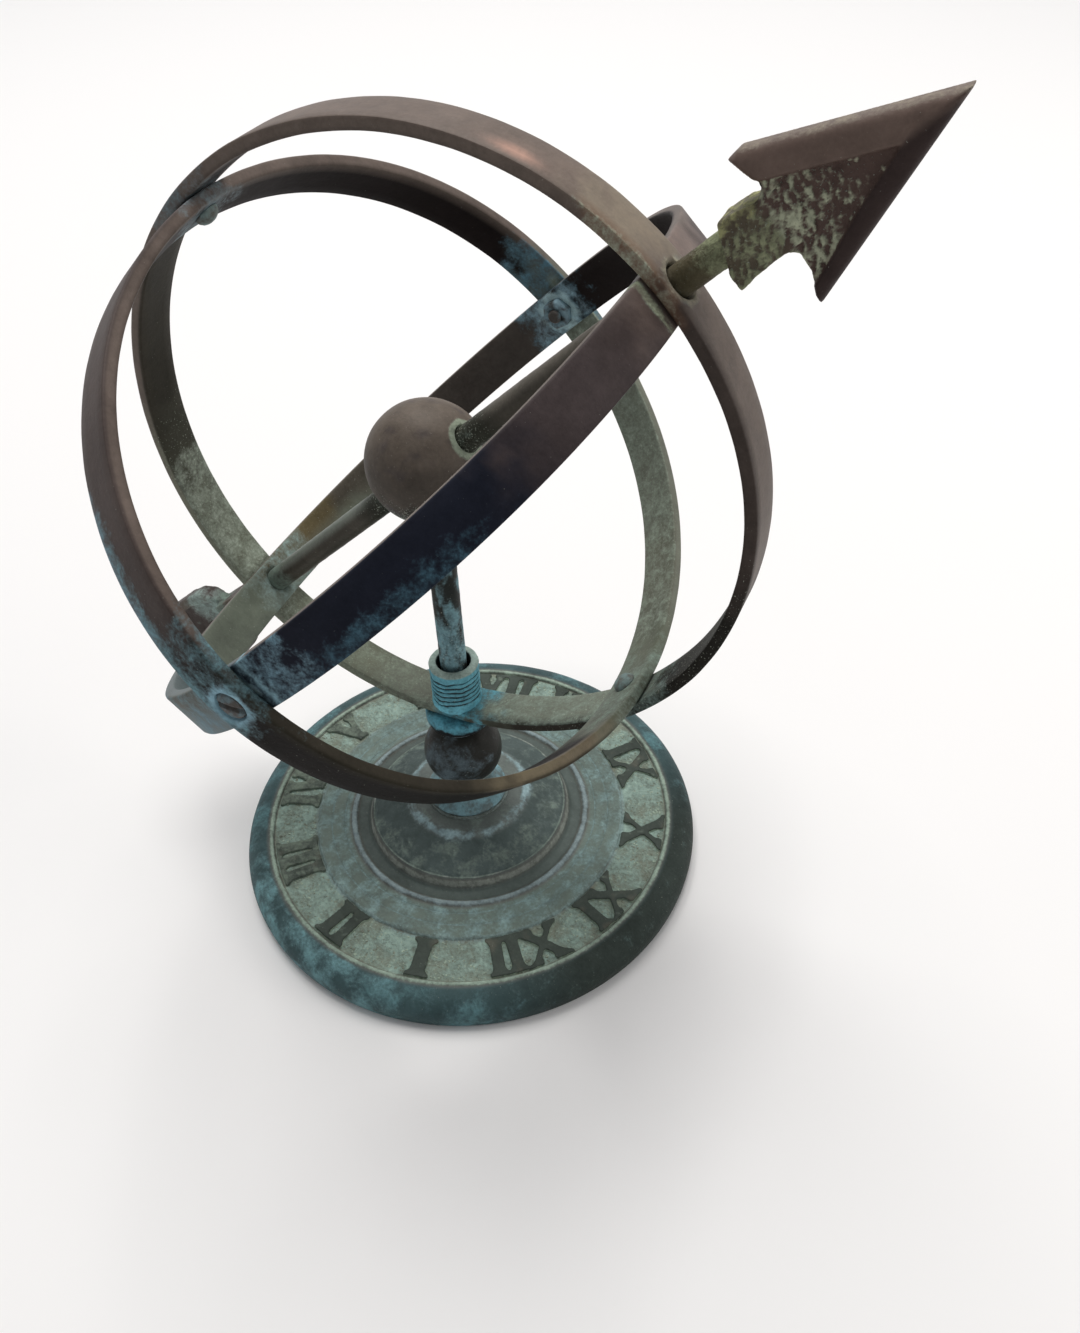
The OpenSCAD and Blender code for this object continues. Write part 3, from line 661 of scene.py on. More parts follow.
for way in (SIDE_WAY, -SIDE_WAY):
    halo(patina, way * (EQU_E + 1.6), 4.4, 6.6, (128, 164, 178), 0.8)
settle(patina, hoop_bronze, "armillary", "hoops", "equator_hoop")

# %% [markdown]
# The hour hoop has the navy black stretch on its near side. Pale lines of salts mark where the edges of
# the other two hoops touch it, and a ring of them lies round each side nut.

# %% Patina on the hour hoop
patina = paint_hoop("hour", (72, 62, 58), [
    # painted shade: the inner faces darkened all round (first entry)
    (0, 180, 1, "in", (44, 37, 35), 0.92), (0, 180, 1, "front", (104, 94, 86), 0.8),
    (4, 9, 10, "out", (122, 106, 98), 0.9), (-58, 34, 26, "out", NAVY, 0.97),
    # painted shade: the inner face at 45 degrees, nearly black (second entry)
    (-20, 10, 14, "out", (78, 66, 62), 0.6), (45, 38, 14, "in", (28, 23, 22), 0.95),
    (118, 22, 14, "in", (70, 64, 59), 0.9), (152, 14, 12, "in", (78, 74, 64), 0.8),
    (-168, 16, 10, "in", (104, 112, 98), 0.9), (168, 16, 10, "in half_back", (104, 112, 98), 0.95),
    (171, 9, 7, "in half_front", (88, 78, 52), 0.95), (-118, 18, 12, "all", (88, 104, 106), 0.8),
    (-108, 8, 8, "out half_front", (64, 60, 42), 0.9)], [
    (-68, 16, 18, "out half_back", (66, 104, 120), 0.4), (-83, 3, 6, "out", (120, 158, 174), 0.42),
    (-92, 4, 7, "all", (96, 122, 132), 0.42), (90, 5, 8, "all", BLUE, 0.52),
    (90, 3, 6, "in", PALE_BLUE, 0.42), (178, 6, 10, "in", (122, 140, 136), 0.5),
    (-116, 16, 12, "out", (102, 130, 140), 0.45)], [
    (170, 26, 14, "in", 0.35), (-60, 40, 20, "out", 0.05)])
contact(patina, (HOUR_A, 0, 0), 1, BAR_W / 2 + 1.3, (176, 186, 158), 1.0)
contact(patina, SIDE_WAY * -HOUR_E, 0, BAR_W / 2 + 0.7, (140, 176, 188), 0.9)
for way in (SIDE_WAY, -SIDE_WAY):
    halo(patina, way * (HOUR_E - 1.6), 5.7, 6.7, (168, 196, 200), 0.92)
settle(patina, hoop_bronze, "armillary", "hoops", "hour_hoop")

# %% [markdown]
# ## The ball
# The ball is drilled for three rods, two of the holes with a wide sloping mouth, and a pale rim of salts
# marks the slope round each. It is painted lighter brown above, a painted highlight, and darker grey below,
# painted shade, with salts below, where it stays wet.

# %% Ball
ball_centre = from_polar((0, 0, BALL_LIFT))
t = np.radians(np.linspace(-90, 90, 97)[1:-1])
half_circle = np.column_stack([np.cos(t), np.sin(t)]) * BALL_R
ball = lathe_along("centre_ball", half_circle, ball_centre, (0, 0, 1), 160)
p = points_of(ball)
set_points(ball, p + (p - ball_centre) / BALL_R * (waves(p, 12, 3)[:, None] * 0.06))
mouth_outline = [(ROD_HOLE, 0), (ROD_HOLE, 8.2), (ROD_R + 3.0, 12.2)]
cut(ball, *[lathe_along("drill", mouth_outline, from_polar((7.2 * s, 0, 0)), AXIS * s) for s in (1, -1)],
    drill((0, 0, HUB - 30), (0, 0, HUB - 10), 4.1, 64))
p = points_of(ball)
height = (p - ball_centre)[:, 2] + waves(p, 8, 16) * 2.5
patina = Patina(ball, (80, 73, 66), (118, 126, 106))
# painted highlight: lighter brown towards the top
patina.stain_and_painted_light(ease(1, 12, height), (100, 90, 80))
# painted shade: darker grey towards the bottom
patina.stain_and_painted_light(ease(-2, -9, height), (52, 52, 50))
patina.stain_and_painted_light(ease(0.2, 0.9, waves(p, 7, 17)) * 0.35, (64, 60, 68))
patina.crust(ease(-4, -11, height) * 0.55, (116, 128, 116))
mouths = [from_polar((BALL_R - 0.7, 0, 0)), from_polar((-BALL_R + 0.7, 0, 0)), (0, 0, HUB - BALL_R + 0.8)]
mouth = np.min([np.linalg.norm(p - m, axis=1) for m in mouths], axis=0)
patina.crust(ease(6.4, 4.6, mouth) * 0.95, (142, 152, 134))
patina.speck = 0.2 + 0.8 * ease(2, -8, height)
settle(patina, ball_bronze, "armillary", "ball", "ball")

# %% [markdown]
# ## The rods
# The rods are turned bar with a slightly uneven skin. The two of the arrow are rough at the outer ends,
# dark by the ball, and painted paler along the top as a painted highlight. The upright rod is streaked with
# blue salts.

# %% Rods
ROD_START, ROD_END = 7.7, 109.0
UPRIGHT_R, UPRIGHT_FOOT, UPRIGHT_TOP = 4.0, 70.2, 140.1


def rod_outline(length, radius):
    z = np.linspace(0, length, int(length / 0.8))
    return [(radius - 0.5, -0.01)] + [(radius, v) for v in z[1:-1]] + [(radius - 0.5, length)]


for name, node, s, painted_top_highlight, salty in (("arrow_rod", "front_rod", 1, (104, 98, 88), 0.2),
                                     ("tail_end_rod", "tail_rod", -1, (112, 120, 110), 0.75)):
    foot = from_polar((ROD_START * s, 0, 0))
    rod = lathe_along(name, rod_outline(ROD_END - ROD_START, ROD_R), foot, AXIS * s)
    p = points_of(rod)
    q = to_polar(p)
    radial = unit(q * [0, 1, 1])
    reach = np.abs(q[:, 0])
    end = ease(84, 92, reach)
    lumps = waves(p, 3.5, 11) * 0.05 + waves(p, 2.2, 12) * 0.16 * (end + 0.5 * ease(26, 18, reach))
    set_points(rod, from_polar(q + radial * np.minimum(lumps, 0.08)[:, None]))
    patina = Patina(rod, (72, 68, 60), (104, 118, 108))
    # painted highlight: paler along the top of the rod
    patina.stain_and_painted_light(ease(0.2, 0.9, radial[:, 2]) * 0.8, painted_top_highlight)
    patina.stain_and_painted_light(ease(34, 22, reach) * 0.9, (46, 48, 40))
    patina.stain_and_painted_light(end * 0.9, (74, 68, 48))
    patina.crust(ease(30, 17, reach) * 0.3 + ease(66, 82, reach) * salty)
    patina.crust(ease(92, 100, reach) * 0.6, (128, 134, 104))
    patina.speck = ease(34, 20, reach) * 0.6 + 0.2
    patina.grit = end
    settle(patina, rod_bronze, "armillary", "rods", node)

outline = rod_outline(UPRIGHT_TOP - UPRIGHT_FOOT, UPRIGHT_R)
upright = lathe_along("upright_bar", outline, (0, 0, UPRIGHT_FOOT), (0, 0, 1))
p = points_of(upright)
set_points(upright, p + unit(p * FLAT) * (waves(p, 5, 21) * 0.05)[:, None])
low = ease(118, 92, p[:, 2])
patina = Patina(upright, (46, 50, 48), (98, 122, 124))
patina.stain_and_painted_light(ease(126, 137, p[:, 2]), (44, 42, 38))
streaks = waves(p * [1, 1, 0.35], 4, 22) * 0.4
patina.crust(np.clip(0.25 + low * 0.3 + streaks, 0, 1), (116, 152, 160))
patina.speck = 0.2 + low * 0.5
settle(patina, rod_bronze, "armillary", "rods", "upright_rod")

# %% [markdown]
# ## The stem
# A turned bulb, cut flat below, stands on a narrow flared foot. A cup-shaped nut sits between it and the
# hoops. Both are nearly black, with blue salts on the near side and on the foot.

# %% Bulb and neck nut
STUD_R, SEAT_TOP = 4.05, 22.6
BULB_R, LIP_R, LIP_Z = 12.5, 10.8, 36.1
BULB_Z = LIP_Z + math.sqrt(BULB_R ** 2 - LIP_R ** 2)
NECK_R, RIM_R = 6.3, 10.3
NECK_Z = BULB_Z + math.sqrt(BULB_R ** 2 - NECK_R ** 2)


def turned(name, outline, soft, size, seed, swell):
    """A turned part of the stem, its skin slightly uneven, and its points before that."""
    points, faces = lathe_mesh(smooth_outline(outline, 0.6, soft), 128)
    lumps = waves(points, size, seed) * swell
    return new_mesh(name, points + points * FLAT * lumps[:, None], faces), points


ends = [math.asin((z - BULB_Z) / BULB_R) for z in (LIP_Z, NECK_Z)]
arc = [(BULB_R * math.cos(a), BULB_Z + BULB_R * math.sin(a)) for a in np.linspace(*ends, 40)]
foot = [(STUD_R, SEAT_TOP), (12.8, SEAT_TOP), (13.2, 23.3), (12.7, 24.0), (11.2, 24.8), (9.6, 26.0),
        (8.6, 27.8), (8.2, 30.0), (8.2, 34.0), (8.6, 35.4), (9.6, LIP_Z), (LIP_R, LIP_Z)]
bulb, p = turned("stem_bulb_turned", foot + arc[1:] + [(STUD_R, NECK_Z)], 0.3, 7, 23, 0.004)
x, y, z = p.T
facing = -y * 1.125 / 13
patina = Patina(bulb, (46, 46, 43), (84, 104, 112))
patina.stain_and_painted_light(ease(35.5, 33, z), (92, 108, 108))
patina.crust((0.15 + 0.38 * facing + 0.25 * waves(p, 6, 24)) * ease(35, 37, z), (86, 100, 106))
patina.crust(ease(34, 30, z) * (0.55 + waves(p, 5, 27) * 0.4), (124, 160, 168))
patina.crust(np.exp(-((z - LIP_Z - 0.3) / 0.7) ** 2) * (np.hypot(x, y) > 10), (176, 184, 176))
patina.speck = 0.15 + 0.2 * facing
settle(patina, stem_bronze, "armillary", "stem", "stem_bulb")

neck_outline = [(STUD_R, NECK_Z), (NECK_R, NECK_Z), (NECK_R + 0.5, NECK_Z + 1.2), (8.6, 56.4), (10.0, 57.5),
                (RIM_R, 58.3), (RIM_R, 61.2), (9.6, 61.9), (STUD_R, 61.9)]
neck, p = turned("neck_nut_turned", neck_outline, 0.35, 5, 25, 0.006)
x, y, z = p.T
patina = Patina(neck, (38, 40, 42), (78, 112, 124))
near_side = ease(10, -6, x * 0.4 + y)
patina.crust(ease(56, 60.5, z + waves(p, 5, 26) * 2) * 0.66 * near_side, (92, 160, 178))
patina.crust(ease(55.5, 53.6, z) * 0.6, (104, 118, 122))
patina.speck = 0.3
settle(patina, stem_bronze, "armillary", "stem", "neck_nut")

# %% [markdown]
# The socket stands on the hoop's inner face, with six worn grooves round it. They were not cut quite true,
# so they tilt and waver. It has weathered to turquoise all over, and the rod stands loose in its mouth. The
# grooves show darker metal and the mouth is near black, both painted shade.

# %% Socket
FLOOR_Z = HOOP_LOW + BAR_T
TOP_Z = FLOOR_Z + 15.8
SOCKET_R, MOUTH_R, BORE_R = 7.5, 5.0, 4.15
GROOVES, GROOVE_STEP, GROOVE_DEEP = 6, 1.75, 0.42
outline = [(BORE_R, FLOOR_Z - 0.1), (SOCKET_R + 0.2, FLOOR_Z - 0.1), (SOCKET_R + 0.1, FLOOR_Z + 1.2)]
for k in range(GROOVES):
    z, r = FLOOR_Z + 2.6 + GROOVE_STEP * k, SOCKET_R - GROOVE_DEEP
    outline += [(SOCKET_R, z - 0.45), (r, z - 0.1), (r, z + 0.1), (SOCKET_R, z + 0.45)]
outline += [(SOCKET_R, TOP_Z - 2.2), (SOCKET_R + 0.05, TOP_Z - 0.7), (SOCKET_R - 0.5, TOP_Z),
            (MOUTH_R + 0.6, TOP_Z), (MOUTH_R, TOP_Z - 0.5), (MOUTH_R, TOP_Z - 5), (BORE_R, TOP_Z - 5)]
points, faces = lathe_mesh(smooth_outline(outline, 0.35, 0.2), 160, closed=True)
band = ease(FLOOR_Z + 0.8, FLOOR_Z + 3, points[:, 2]) * ease(TOP_Z - 1.5, TOP_Z - 4, points[:, 2])
points[:, 2] += band * (points[:, :2] @ [0.09, -0.05] + waves(points, 6, 31) * 0.45)
outer = ease(5.6, 6.6, np.hypot(points[:, 0], points[:, 1]))[:, None]
points += points * FLAT * outer * (waves(points, 3.5, 32) * 0.014)[:, None]
socket = new_mesh("hoop_socket_turned", points, faces)
p = points_of(socket)
radius = np.hypot(p[:, 0], p[:, 1])
groove = ease(SOCKET_R - 0.12, SOCKET_R - 0.4, radius) * band
patina = Patina(socket, (58, 72, 74), TURQUOISE)
# painted shade: thinner salts in the grooves let the darker metal show there
patina.crust(np.clip(0.85 + waves(p, 8, 33) * 0.25 - groove * 0.7, 0, 1), (108, 176, 192))
patina.salts *= (0.85 + 0.3 * ease(FLOOR_Z + 8, FLOOR_Z, p[:, 2]))[:, None]
patina.crust(ease(TOP_Z - 1.3, TOP_Z - 0.2, p[:, 2]) * 0.95, (148, 166, 158))
# painted shade: near black inside the mouth and the bore, with no salts
patina.stain_and_painted_light(ease(MOUTH_R + 0.4, MOUTH_R, radius), (26, 26, 26))
patina.share *= 1 - ease(MOUTH_R + 0.5, MOUTH_R + 0.1, radius)
patina.speck = 0.3 + 0.3 * band
patina.grit = 0.6
settle(patina, socket_bronze, "armillary", "socket", "hoop_socket")

# %% [markdown]
# ## The dial
# The dial is one casting: a swelling rim, a sunken grainy band with the hours standing in it, a flat, a
# raised ring, a groove and a dome. It is turned from its outline, then given the small unevenness of a
# sand casting. The outline here starts at the dome's top, goes out to the rim and comes back below.

# %% Dial body
top = [(4.1, 21.8), (13.8, 21.8), (19.0, 21.8), (19.6, 21.3), (20.4, 20.6), (22.5, 19.9), (25.8, 18.6),
       (29.2, 16.9), (31.2, 16.05), (31.8, 15.5), (32.4, 15.6), (33.0, 14.6), (33.6, 12.6), (34.6, 11.3),
       (37.4, 11.2), (38.2, 11.6), (38.6, 12.1), (39.3, 12.3), (40.0, 12.0), (40.4, 11.4), (42.3, 11.3),
       (42.6, 11.05), (42.9, 11.3), (46.6, 11.3), (46.9, 11.05), (47.2, 11.3), (50.8, 11.2), (51.5, 10.8),
       (51.9, 10.1), (66.4, 10.0), (66.8, 10.9), (67.4, 11.1), (68.2, 10.8)]
rim = [(68.2 + 7.9 * math.cos(a), 4 + 6.9 * math.sin(a)) for a in np.radians(np.linspace(84, 0, 12))]
under = [(75.9, 2.2), (75.5, 0.5), (74.8, 0.0), (72.0, 0.0), (71.5, 0.8), (71.5, 3), (62.2, 6.4), (35, 7.3),
         (30, 10.2), (19.2, 15.8), (15.5, 15.8), (15, 12), (4.1, 12)]
outline = (top + rim + under)[::-1]
points, faces = lathe_mesh(smooth_outline(outline + outline[:1], 0.8, 0.35)[:-1], 300, closed=True)
radius = np.hypot(points[:, 0], points[:, 1])
upper = (points[:, 2] > 9).astype(float)
field = ease(51.6, 52.4, radius) * ease(66.6, 65.9, radius) * upper
lumps = waves(points, 18, 41) * 0.10 + waves(points, 5, 42) * 0.05 + field * waves(points, 1.9, 43) * 0.12
points[:, 2] += lumps * (points[:, 2] > 1.0) * ease(14.2, 21, radius)
dial = new_mesh("dial_casting", points, faces)
print("dial outline of", len(outline), "corners, sunken band on", int(field.sum()), "points")

# %% [markdown]
# The dial's tones go by radius: a green rim painted dark as painted shade and a painted dark reflection,
# bluer at the front left, a pale sandy band, a flat with two fine lines, a groove painted darker as painted
# shade, and a dome. Pale salts gather in every corner of the outline.

# %% Patina on the dial
p = points_of(dial)
heading = np.degrees(np.arctan2(p[:, 1], p[:, 0]))


def side_of_rim(middle, reach):
    """How near the heading of a place is to a heading, in degrees round the dial."""
    return ease(reach, reach * 0.4, np.abs((heading - middle + 180) % 360 - 180))


def line_at(r, width):
    return np.exp(-((radius - r) / width) ** 2)


rim_zone = ease(67.6, 69.5, radius)
dome = ease(33.2, 31.8, radius)
flats = ease(40.2, 41.2, radius) * ease(52, 51, radius)
patches = waves(p, 16, 44)
patina = Patina(dial, (96, 98, 92), (136, 150, 142))
# painted shade and painted dark reflection: the rim's green tone is darkened, most at heading -8 (next line)
patina.stain_and_painted_light(rim_zone, (58, 80, 82))
patina.stain_and_painted_light(rim_zone * side_of_rim(-8, 60), (50, 58, 54))
patina.stain_and_painted_light(field, (132, 138, 122))
patina.stain_and_painted_light(field * ease(0.35, 0.8, waves(p, 6, 46)) * 0.6, (122, 104, 76))
patina.stain_and_painted_light(flats, (98, 112, 104))
# painted shade: the groove between the dome and the raised ring is darker
patina.stain_and_painted_light(ease(33.2, 34.2, radius) * ease(38.4, 37.4, radius), (78, 88, 84))
patina.stain_and_painted_light(dome, (72, 84, 82))
patina.stain_and_painted_light(ease(21.5, 19.5, radius) * upper, (98, 106, 102))
patina.crust(field * (0.62 + patches * 0.3), (140, 162, 152))
patina.crust(rim_zone * np.clip(0.32 + patches * 0.5, 0, 1) * (1 - 0.6 * side_of_rim(-8, 60)), (84, 118, 122))
patina.crust(rim_zone * side_of_rim(-112, 38) * uneven(p, 8, 47, 0.45, 0.4), (102, 138, 142))
patina.crust(flats * (0.42 + waves(p, 7, 48) * 0.3), (124, 148, 146))
patina.crust((line_at(42.6, 0.5) + line_at(46.9, 0.5)) * 0.55, (124, 148, 148))
for r, width, strength, tone in ((39.3, 1.1, 0.9, (134, 150, 152)), (51.6, 0.8, 0.62, (134, 156, 154)),
                                 (67.3, 0.9, 0.8, (146, 164, 150))):
    patina.crust(line_at(r, width) * strength, tone)
patina.crust(line_at(33.3, 0.45) * upper * 0.8, (140, 146, 138))
patina.crust(line_at(32.1, 0.3) * upper * 0.9, (150, 156, 150))
patina.crust(dome * upper * uneven(p, 9, 49, 0.3, 0.35), (112, 126, 118))
patina.crust(line_at(19.6, 1.7) * upper * uneven(p, 9, 50, 0.55, 0.5), (142, 166, 170))
patina.speck = 0.2 + 0.15 * flats + 0.3 * field
patina.grit = field + 0.3 * rim_zone
settle(patina, dial_bronze, "dial", "dial", "dial_base")

# %% [markdown]
# The sand of the mould left grains on the sunken band. A tree scatters small lumps over a flat ring that
# lies just under the band's face, so that each shows as a low bump.

# %% Grains of sand on the sunken band
RING_STEPS, RING_Z = 240, 9.95
GRAINS = {"Grains per square metre": 620000.0, "Smallest": 0.00016, "Largest": 0.00052, "Seed": 4}
t = np.arange(RING_STEPS) * 2 * math.pi / RING_STEPS
points = [(r * math.cos(a), r * math.sin(a), RING_Z) for r in (52.2, 65.8) for a in t]
faces = [(i, k, RING_STEPS + k, RING_STEPS + i)[::-1] for i, k in around_ring(RING_STEPS)]
grains = new_mesh("dial_sand_grains", points, faces)
tree, given, names = new_tree("scatter_grains", GRAINS)
scatter = add(tree, "GeometryNodeDistributePointsOnFaces", {
    "Mesh": given["Geometry"], "Density": given["Grains per square metre"], "Seed": given["Seed"]},
    distribute_method="RANDOM")
size = add(tree, "FunctionNodeRandomValue", {2: given["Smallest"], 3: given["Largest"]}, data_type="FLOAT")[1]
low_lump = add(tree, "ShaderNodeCombineXYZ", {0: size, 1: size, 2: math_node(tree, "MULTIPLY", size, 0.55)})
placed = add(tree, "GeometryNodeInstanceOnPoints", {
    "Points": scatter["Points"], "Rotation": scatter["Rotation"], "Scale": low_lump[0],
    "Instance": add(tree, "GeometryNodeMeshIcoSphere", {"Radius": 1})["Mesh"]})
end_tree(tree, placed[0], dial_bronze)
grow(grains, tree, names, GRAINS)
patina = Patina(grains, (120, 126, 112), (158, 174, 158))
patina.crust(uneven(points_of(grains), 4, 55, 0.6, 0.6))
settle(patina, dial_bronze, "dial", "dial")
print("grains of sand:", len(grains.data.vertices) // 12)

# %% [markdown]
# The hours are cut as strokes, joined and softened by a voxel remesh so that they look cast with the
# dial. They run clockwise with their heads outwards, and twelve stands 46 degrees from the arrow. The I
# that stands alone is wider than the others and a little out of its place.

# %% Strokes of the numerals
NOON, HOUR_STEP = -45.8, 30
BAND_IN, BAND_OUT = 52.2, 65.9
WORDS = ["XII", "I", "II", "III", "IV", "V", "VI", "VII", "VIII", "IX", "X", "XI"]
WIDTH = {"I": 5.3, "V": 10.0, "X": 12.6}
HEAVY, LIGHT, SERIF = 3.8, 2.4, 1.3
STROKES = {"I": [(0, 0, HEAVY)], "V": [(0.72, -3.6, HEAVY), (-0.72, 3.6, LIGHT)],
           "X": [(4.9, -4.9, HEAVY), (-4.9, 4.9, LIGHT)]}
LONE_I_SIZE, LONE_I_TURN = 1.25, 1.8
HOUR_HEIGHTS = 9.2, 10.95


def prism(corners, low, high):
    n = len(corners)
    points = [(x, y, z) for z in (low, high) for x, y in corners]
    faces = [tuple(range(n))[::-1], tuple(range(n, 2 * n))]
    faces += [(i, j, n + j, n + i) for i, j in around_ring(n)]
    return points, faces


def stroke_shapes(kind, x0, x1, w, size):
    """A stroke from the band's inner edge to its outer edge, and the steps of its bracketed serifs."""
    low, high = BAND_IN + SERIF / 2, BAND_OUT - SERIF / 2
    yield [(x0 - w / 2, low), (x0 + w / 2, low), (x1 + w / 2, high), (x1 - w / 2, high)]
    half = w / 2 + 1.15 * size
    steps = [(0, half), (SERIF, half), (SERIF, half - 0.2), (SERIF + 0.7, w / 2 + 0.35), (SERIF + 1.6, w / 2)]
    for x, y, way in ((x0, BAND_IN, 1), (x1, BAND_OUT, -1)):
        if kind == "V" and way == 1:
            continue
        lean = (x1 - x0) / (high - low) * way
        for (y0, h0), (y1, h1) in (steps[0:2], steps[2:4], steps[3:5]):
            m0, m1 = x + lean * max(y0 - SERIF / 2, 0), x + lean * max(y1 - SERIF / 2, 0)
            a, b = y + way * y0, y + way * y1
            yield [(m0 - h0, a), (m0 + h0, a), (m1 + h1, b), (m1 - h1, b)][::way]


def numeral_strokes(word, angle):
    """The outlines of a word's strokes on the dial, turned to its place."""
    done = 0.0
    size = LONE_I_SIZE if word == "I" else 1.0
    for kind in word:
        a = math.radians(angle + sum(WIDTH[k] for k in word) / 2 - done - WIDTH[kind] / 2 - 90)
        done += WIDTH[kind]
        for x0, x1, w in STROKES[kind]:
            for corners in stroke_shapes(kind, x0, x1, w * size, size):
                yield [(x * math.cos(a) - y * math.sin(a), x * math.sin(a) + y * math.cos(a))
                       for x, y in corners]


parts = [prism(corners, *HOUR_HEIGHTS) for step, word in enumerate(WORDS)
         for corners in numeral_strokes(word, NOON - HOUR_STEP * step - (LONE_I_TURN if word == "I" else 0))]
print(len(parts), "strokes and serifs")

# %% [markdown]
# The voxel remesh makes one skin of the overlapping strokes. Their tops are dark and a little lumpy, and
# pale salts fill the corners round their feet.

# %% Hour numerals
numerals = joined("dial_hours", parts)
soften(numerals, 0.42, 2)
p = points_of(numerals)
lumps = (waves(p, 4, 51) * 0.08 + waves(p, 1.6, 52) * 0.05) * (p[:, 2] > 9.8)
set_points(numerals, p + lumps[:, None] * [0, 0, 1])
p = points_of(numerals)
patina = Patina(numerals, (62, 70, 64), (152, 168, 152))
patina.stain_and_painted_light(ease(0.2, 0.9, waves(p, 7, 53)) * 0.5, (92, 90, 78))
patina.crust(ease(10.8, 10.35, p[:, 2]) * 0.95, (160, 176, 156))
patina.crust(np.clip(waves(p, 5, 54) * 0.5, 0, 0.45) + 0.5 * ease(-10, -50, p[:, 0]), (106, 118, 106))
patina.speck = 0.2
settle(patina, dial_bronze, "dial", "dial")

# %% [markdown]
# ## Fasteners
# Two rivets join the meridian and equator hoops, with a round tail inside and a low head outside. The
# side crossings have a slotted screw in its hollow and a small nut inside. Each is drawn once, with Z
# running out from the hoops' centre, and set on two opposite sides.

# %% Rivets, screws and nuts
def fasteners(name, points, faces, way, node, metal, salts, crust, rough=0.0):
    parts = [(aimed(points, POLAR @ way * s, CENTRE), faces) for s in (1, -1)]
    pair = joined(name, parts)
    p = points_of(pair)
    set_points(pair, p + (waves(p, 2.5, 61) * rough)[:, None] * [1, 0, 1])
    patina = Patina(pair, metal, salts)
    patina.crust(uneven(p, 3, *crust))
    settle(patina, fastener_bronze, "armillary", "fasteners", node)


inner, outer = EQU_C - BAR_T / 2 - 0.05, MER_C + BAR_T / 2
tail = [(0.2, inner - 2.4), (1.2, inner - 2.3), (2.3, inner - 1.8), (3.0, inner - 1.0), (3.3, inner - 0.3),
        (3.3, inner), (2.5, inner)]
head = [(2.5, outer), (3.3, outer), (3.2, outer + 0.3), (2.4, outer + 0.6), (0.2, outer + 0.65)]
fasteners("meridian_rivets_round", *lathe_mesh(smooth_outline(tail + head, 0.4, 0.15), 48), (0, 0, 1),
          "meridian_rivets", (84, 80, 72), (112, 130, 128), (62, 0.55, 0.4), rough=0.07)

under_head = EQU_E + BAR_T / 2 - 0.95
nut_face = HOUR_E - BAR_T / 2 - 0.2
screw = [(0.2, nut_face - 4.3), (1.5, nut_face - 4.2), (2.0, nut_face - 3.7), (2.0, under_head),
         (3.6, under_head), (3.7, under_head + 0.4), (3.2, under_head + 0.9), (1.6, under_head + 1.1),
         (0.2, under_head + 1.12)]
points, faces = lathe_mesh(smooth_outline(screw, 0.35, 0.12), 48)
slot = ease(0.75, 0.45, np.abs(points[:, 1])) * (points[:, 2] > under_head + 0.35)
points[:, 2] -= slot * 0.7
fasteners("side_screws_slotted", points, faces, SIDE_WAY, "side_screws", (70, 66, 62), (96, 116, 122),
          (63, 0.3, 0.5))

NUT_STEPS = 96
t = np.arange(NUT_STEPS) * 2 * math.pi / NUT_STEPS
hexagon = np.minimum(4.0 / np.cos((t + math.pi / 6) % (math.pi / 3) - math.pi / 6), 4.45)
bore = np.full(NUT_STEPS, 2.1)
points, faces = [], []
for r, z in ((bore, -2.8), (hexagon * 0.9, -2.8), (hexagon, -2.4), (hexagon, 0), (bore, 0)):
    points += [(a * math.cos(b), a * math.sin(b), nut_face + z) for a, b in zip(r, t)]
for i in range(5):
    i, j = i * NUT_STEPS, (i + 1) % 5 * NUT_STEPS
    faces += [(i + k, j + k, j + m, i + m)[::-1] for k, m in around_ring(NUT_STEPS)]
fasteners("side_nuts_six_sided", points, faces, SIDE_WAY, "side_nuts", (62, 66, 66), (120, 146, 156),
          (64, 0.6, 0.5))

# %% [markdown]
# ## The arrow
# Head and tail are small castings. Each is drawn as outlines in the upright plane of the pole line, joined
# by a voxel remesh, and pitted with noise where the photograph shows pits.

# %% Cast plates
def plate(corners, half):
    """A flat plate in the polar plane: corners along and above the pole line, half its thickness each way."""
    points = [(x, y, z) for y in (-half, half) for x, z in corners]
    n = len(corners)
    faces = [tuple(range(n)), tuple(range(n, 2 * n))[::-1]]
    faces += [(i, n + i, n + j, j) for i, j in around_ring(n)]
    return from_polar(points), faces


def edge_distance(q, a, b):
    """How far each place lies from the stretch between two places in the polar plane."""
    a, b = np.array(a), np.array(b)
    flat_q = q[:, [0, 2]] - a
    along = np.clip(flat_q @ (b - a) / ((b - a) @ (b - a)), 0, 1)
    return np.linalg.norm(flat_q - along[:, None] * (b - a), axis=1)


TIP, UPPER_BARB, LOWER_BARB = (154.6, -2.7), (116.0, 13.3), (111.3, -19.5)
rear_upper = [UPPER_BARB, (113.0, 13.0), (114.0, 9.2), (115.2, 5.6), (113.2, 3.6)]
rear_lower = [(112.6, -7.4), (113.6, -9.3), (113.2, -13.4), (111.4, -17.4), LOWER_BARB]
shank = [(120, 3.4), (113.2, 3.7), (110.6, 4.8), (105.1, 5.3), (103.4, 1.5), (101.6, -2.6), (100.7, -4.2),
         (100.9, -8.2), (105.5, -7.4), (111.5, -7.1), (120, -7.4)]
arrowhead = joined("arrowhead_cast", [plate([TIP] + rear_upper + rear_lower, 3.5), plate(shank, 4.5)])
soften(arrowhead, 0.4, 3)
print("arrowhead of", len(arrowhead.data.vertices), "points")

# %% [markdown]
# The head has a smooth rounded border and a sunken rough field, which the distance from each edge gives.
# The points are moved in and out from the middle plane by a height, and the pits add to it.

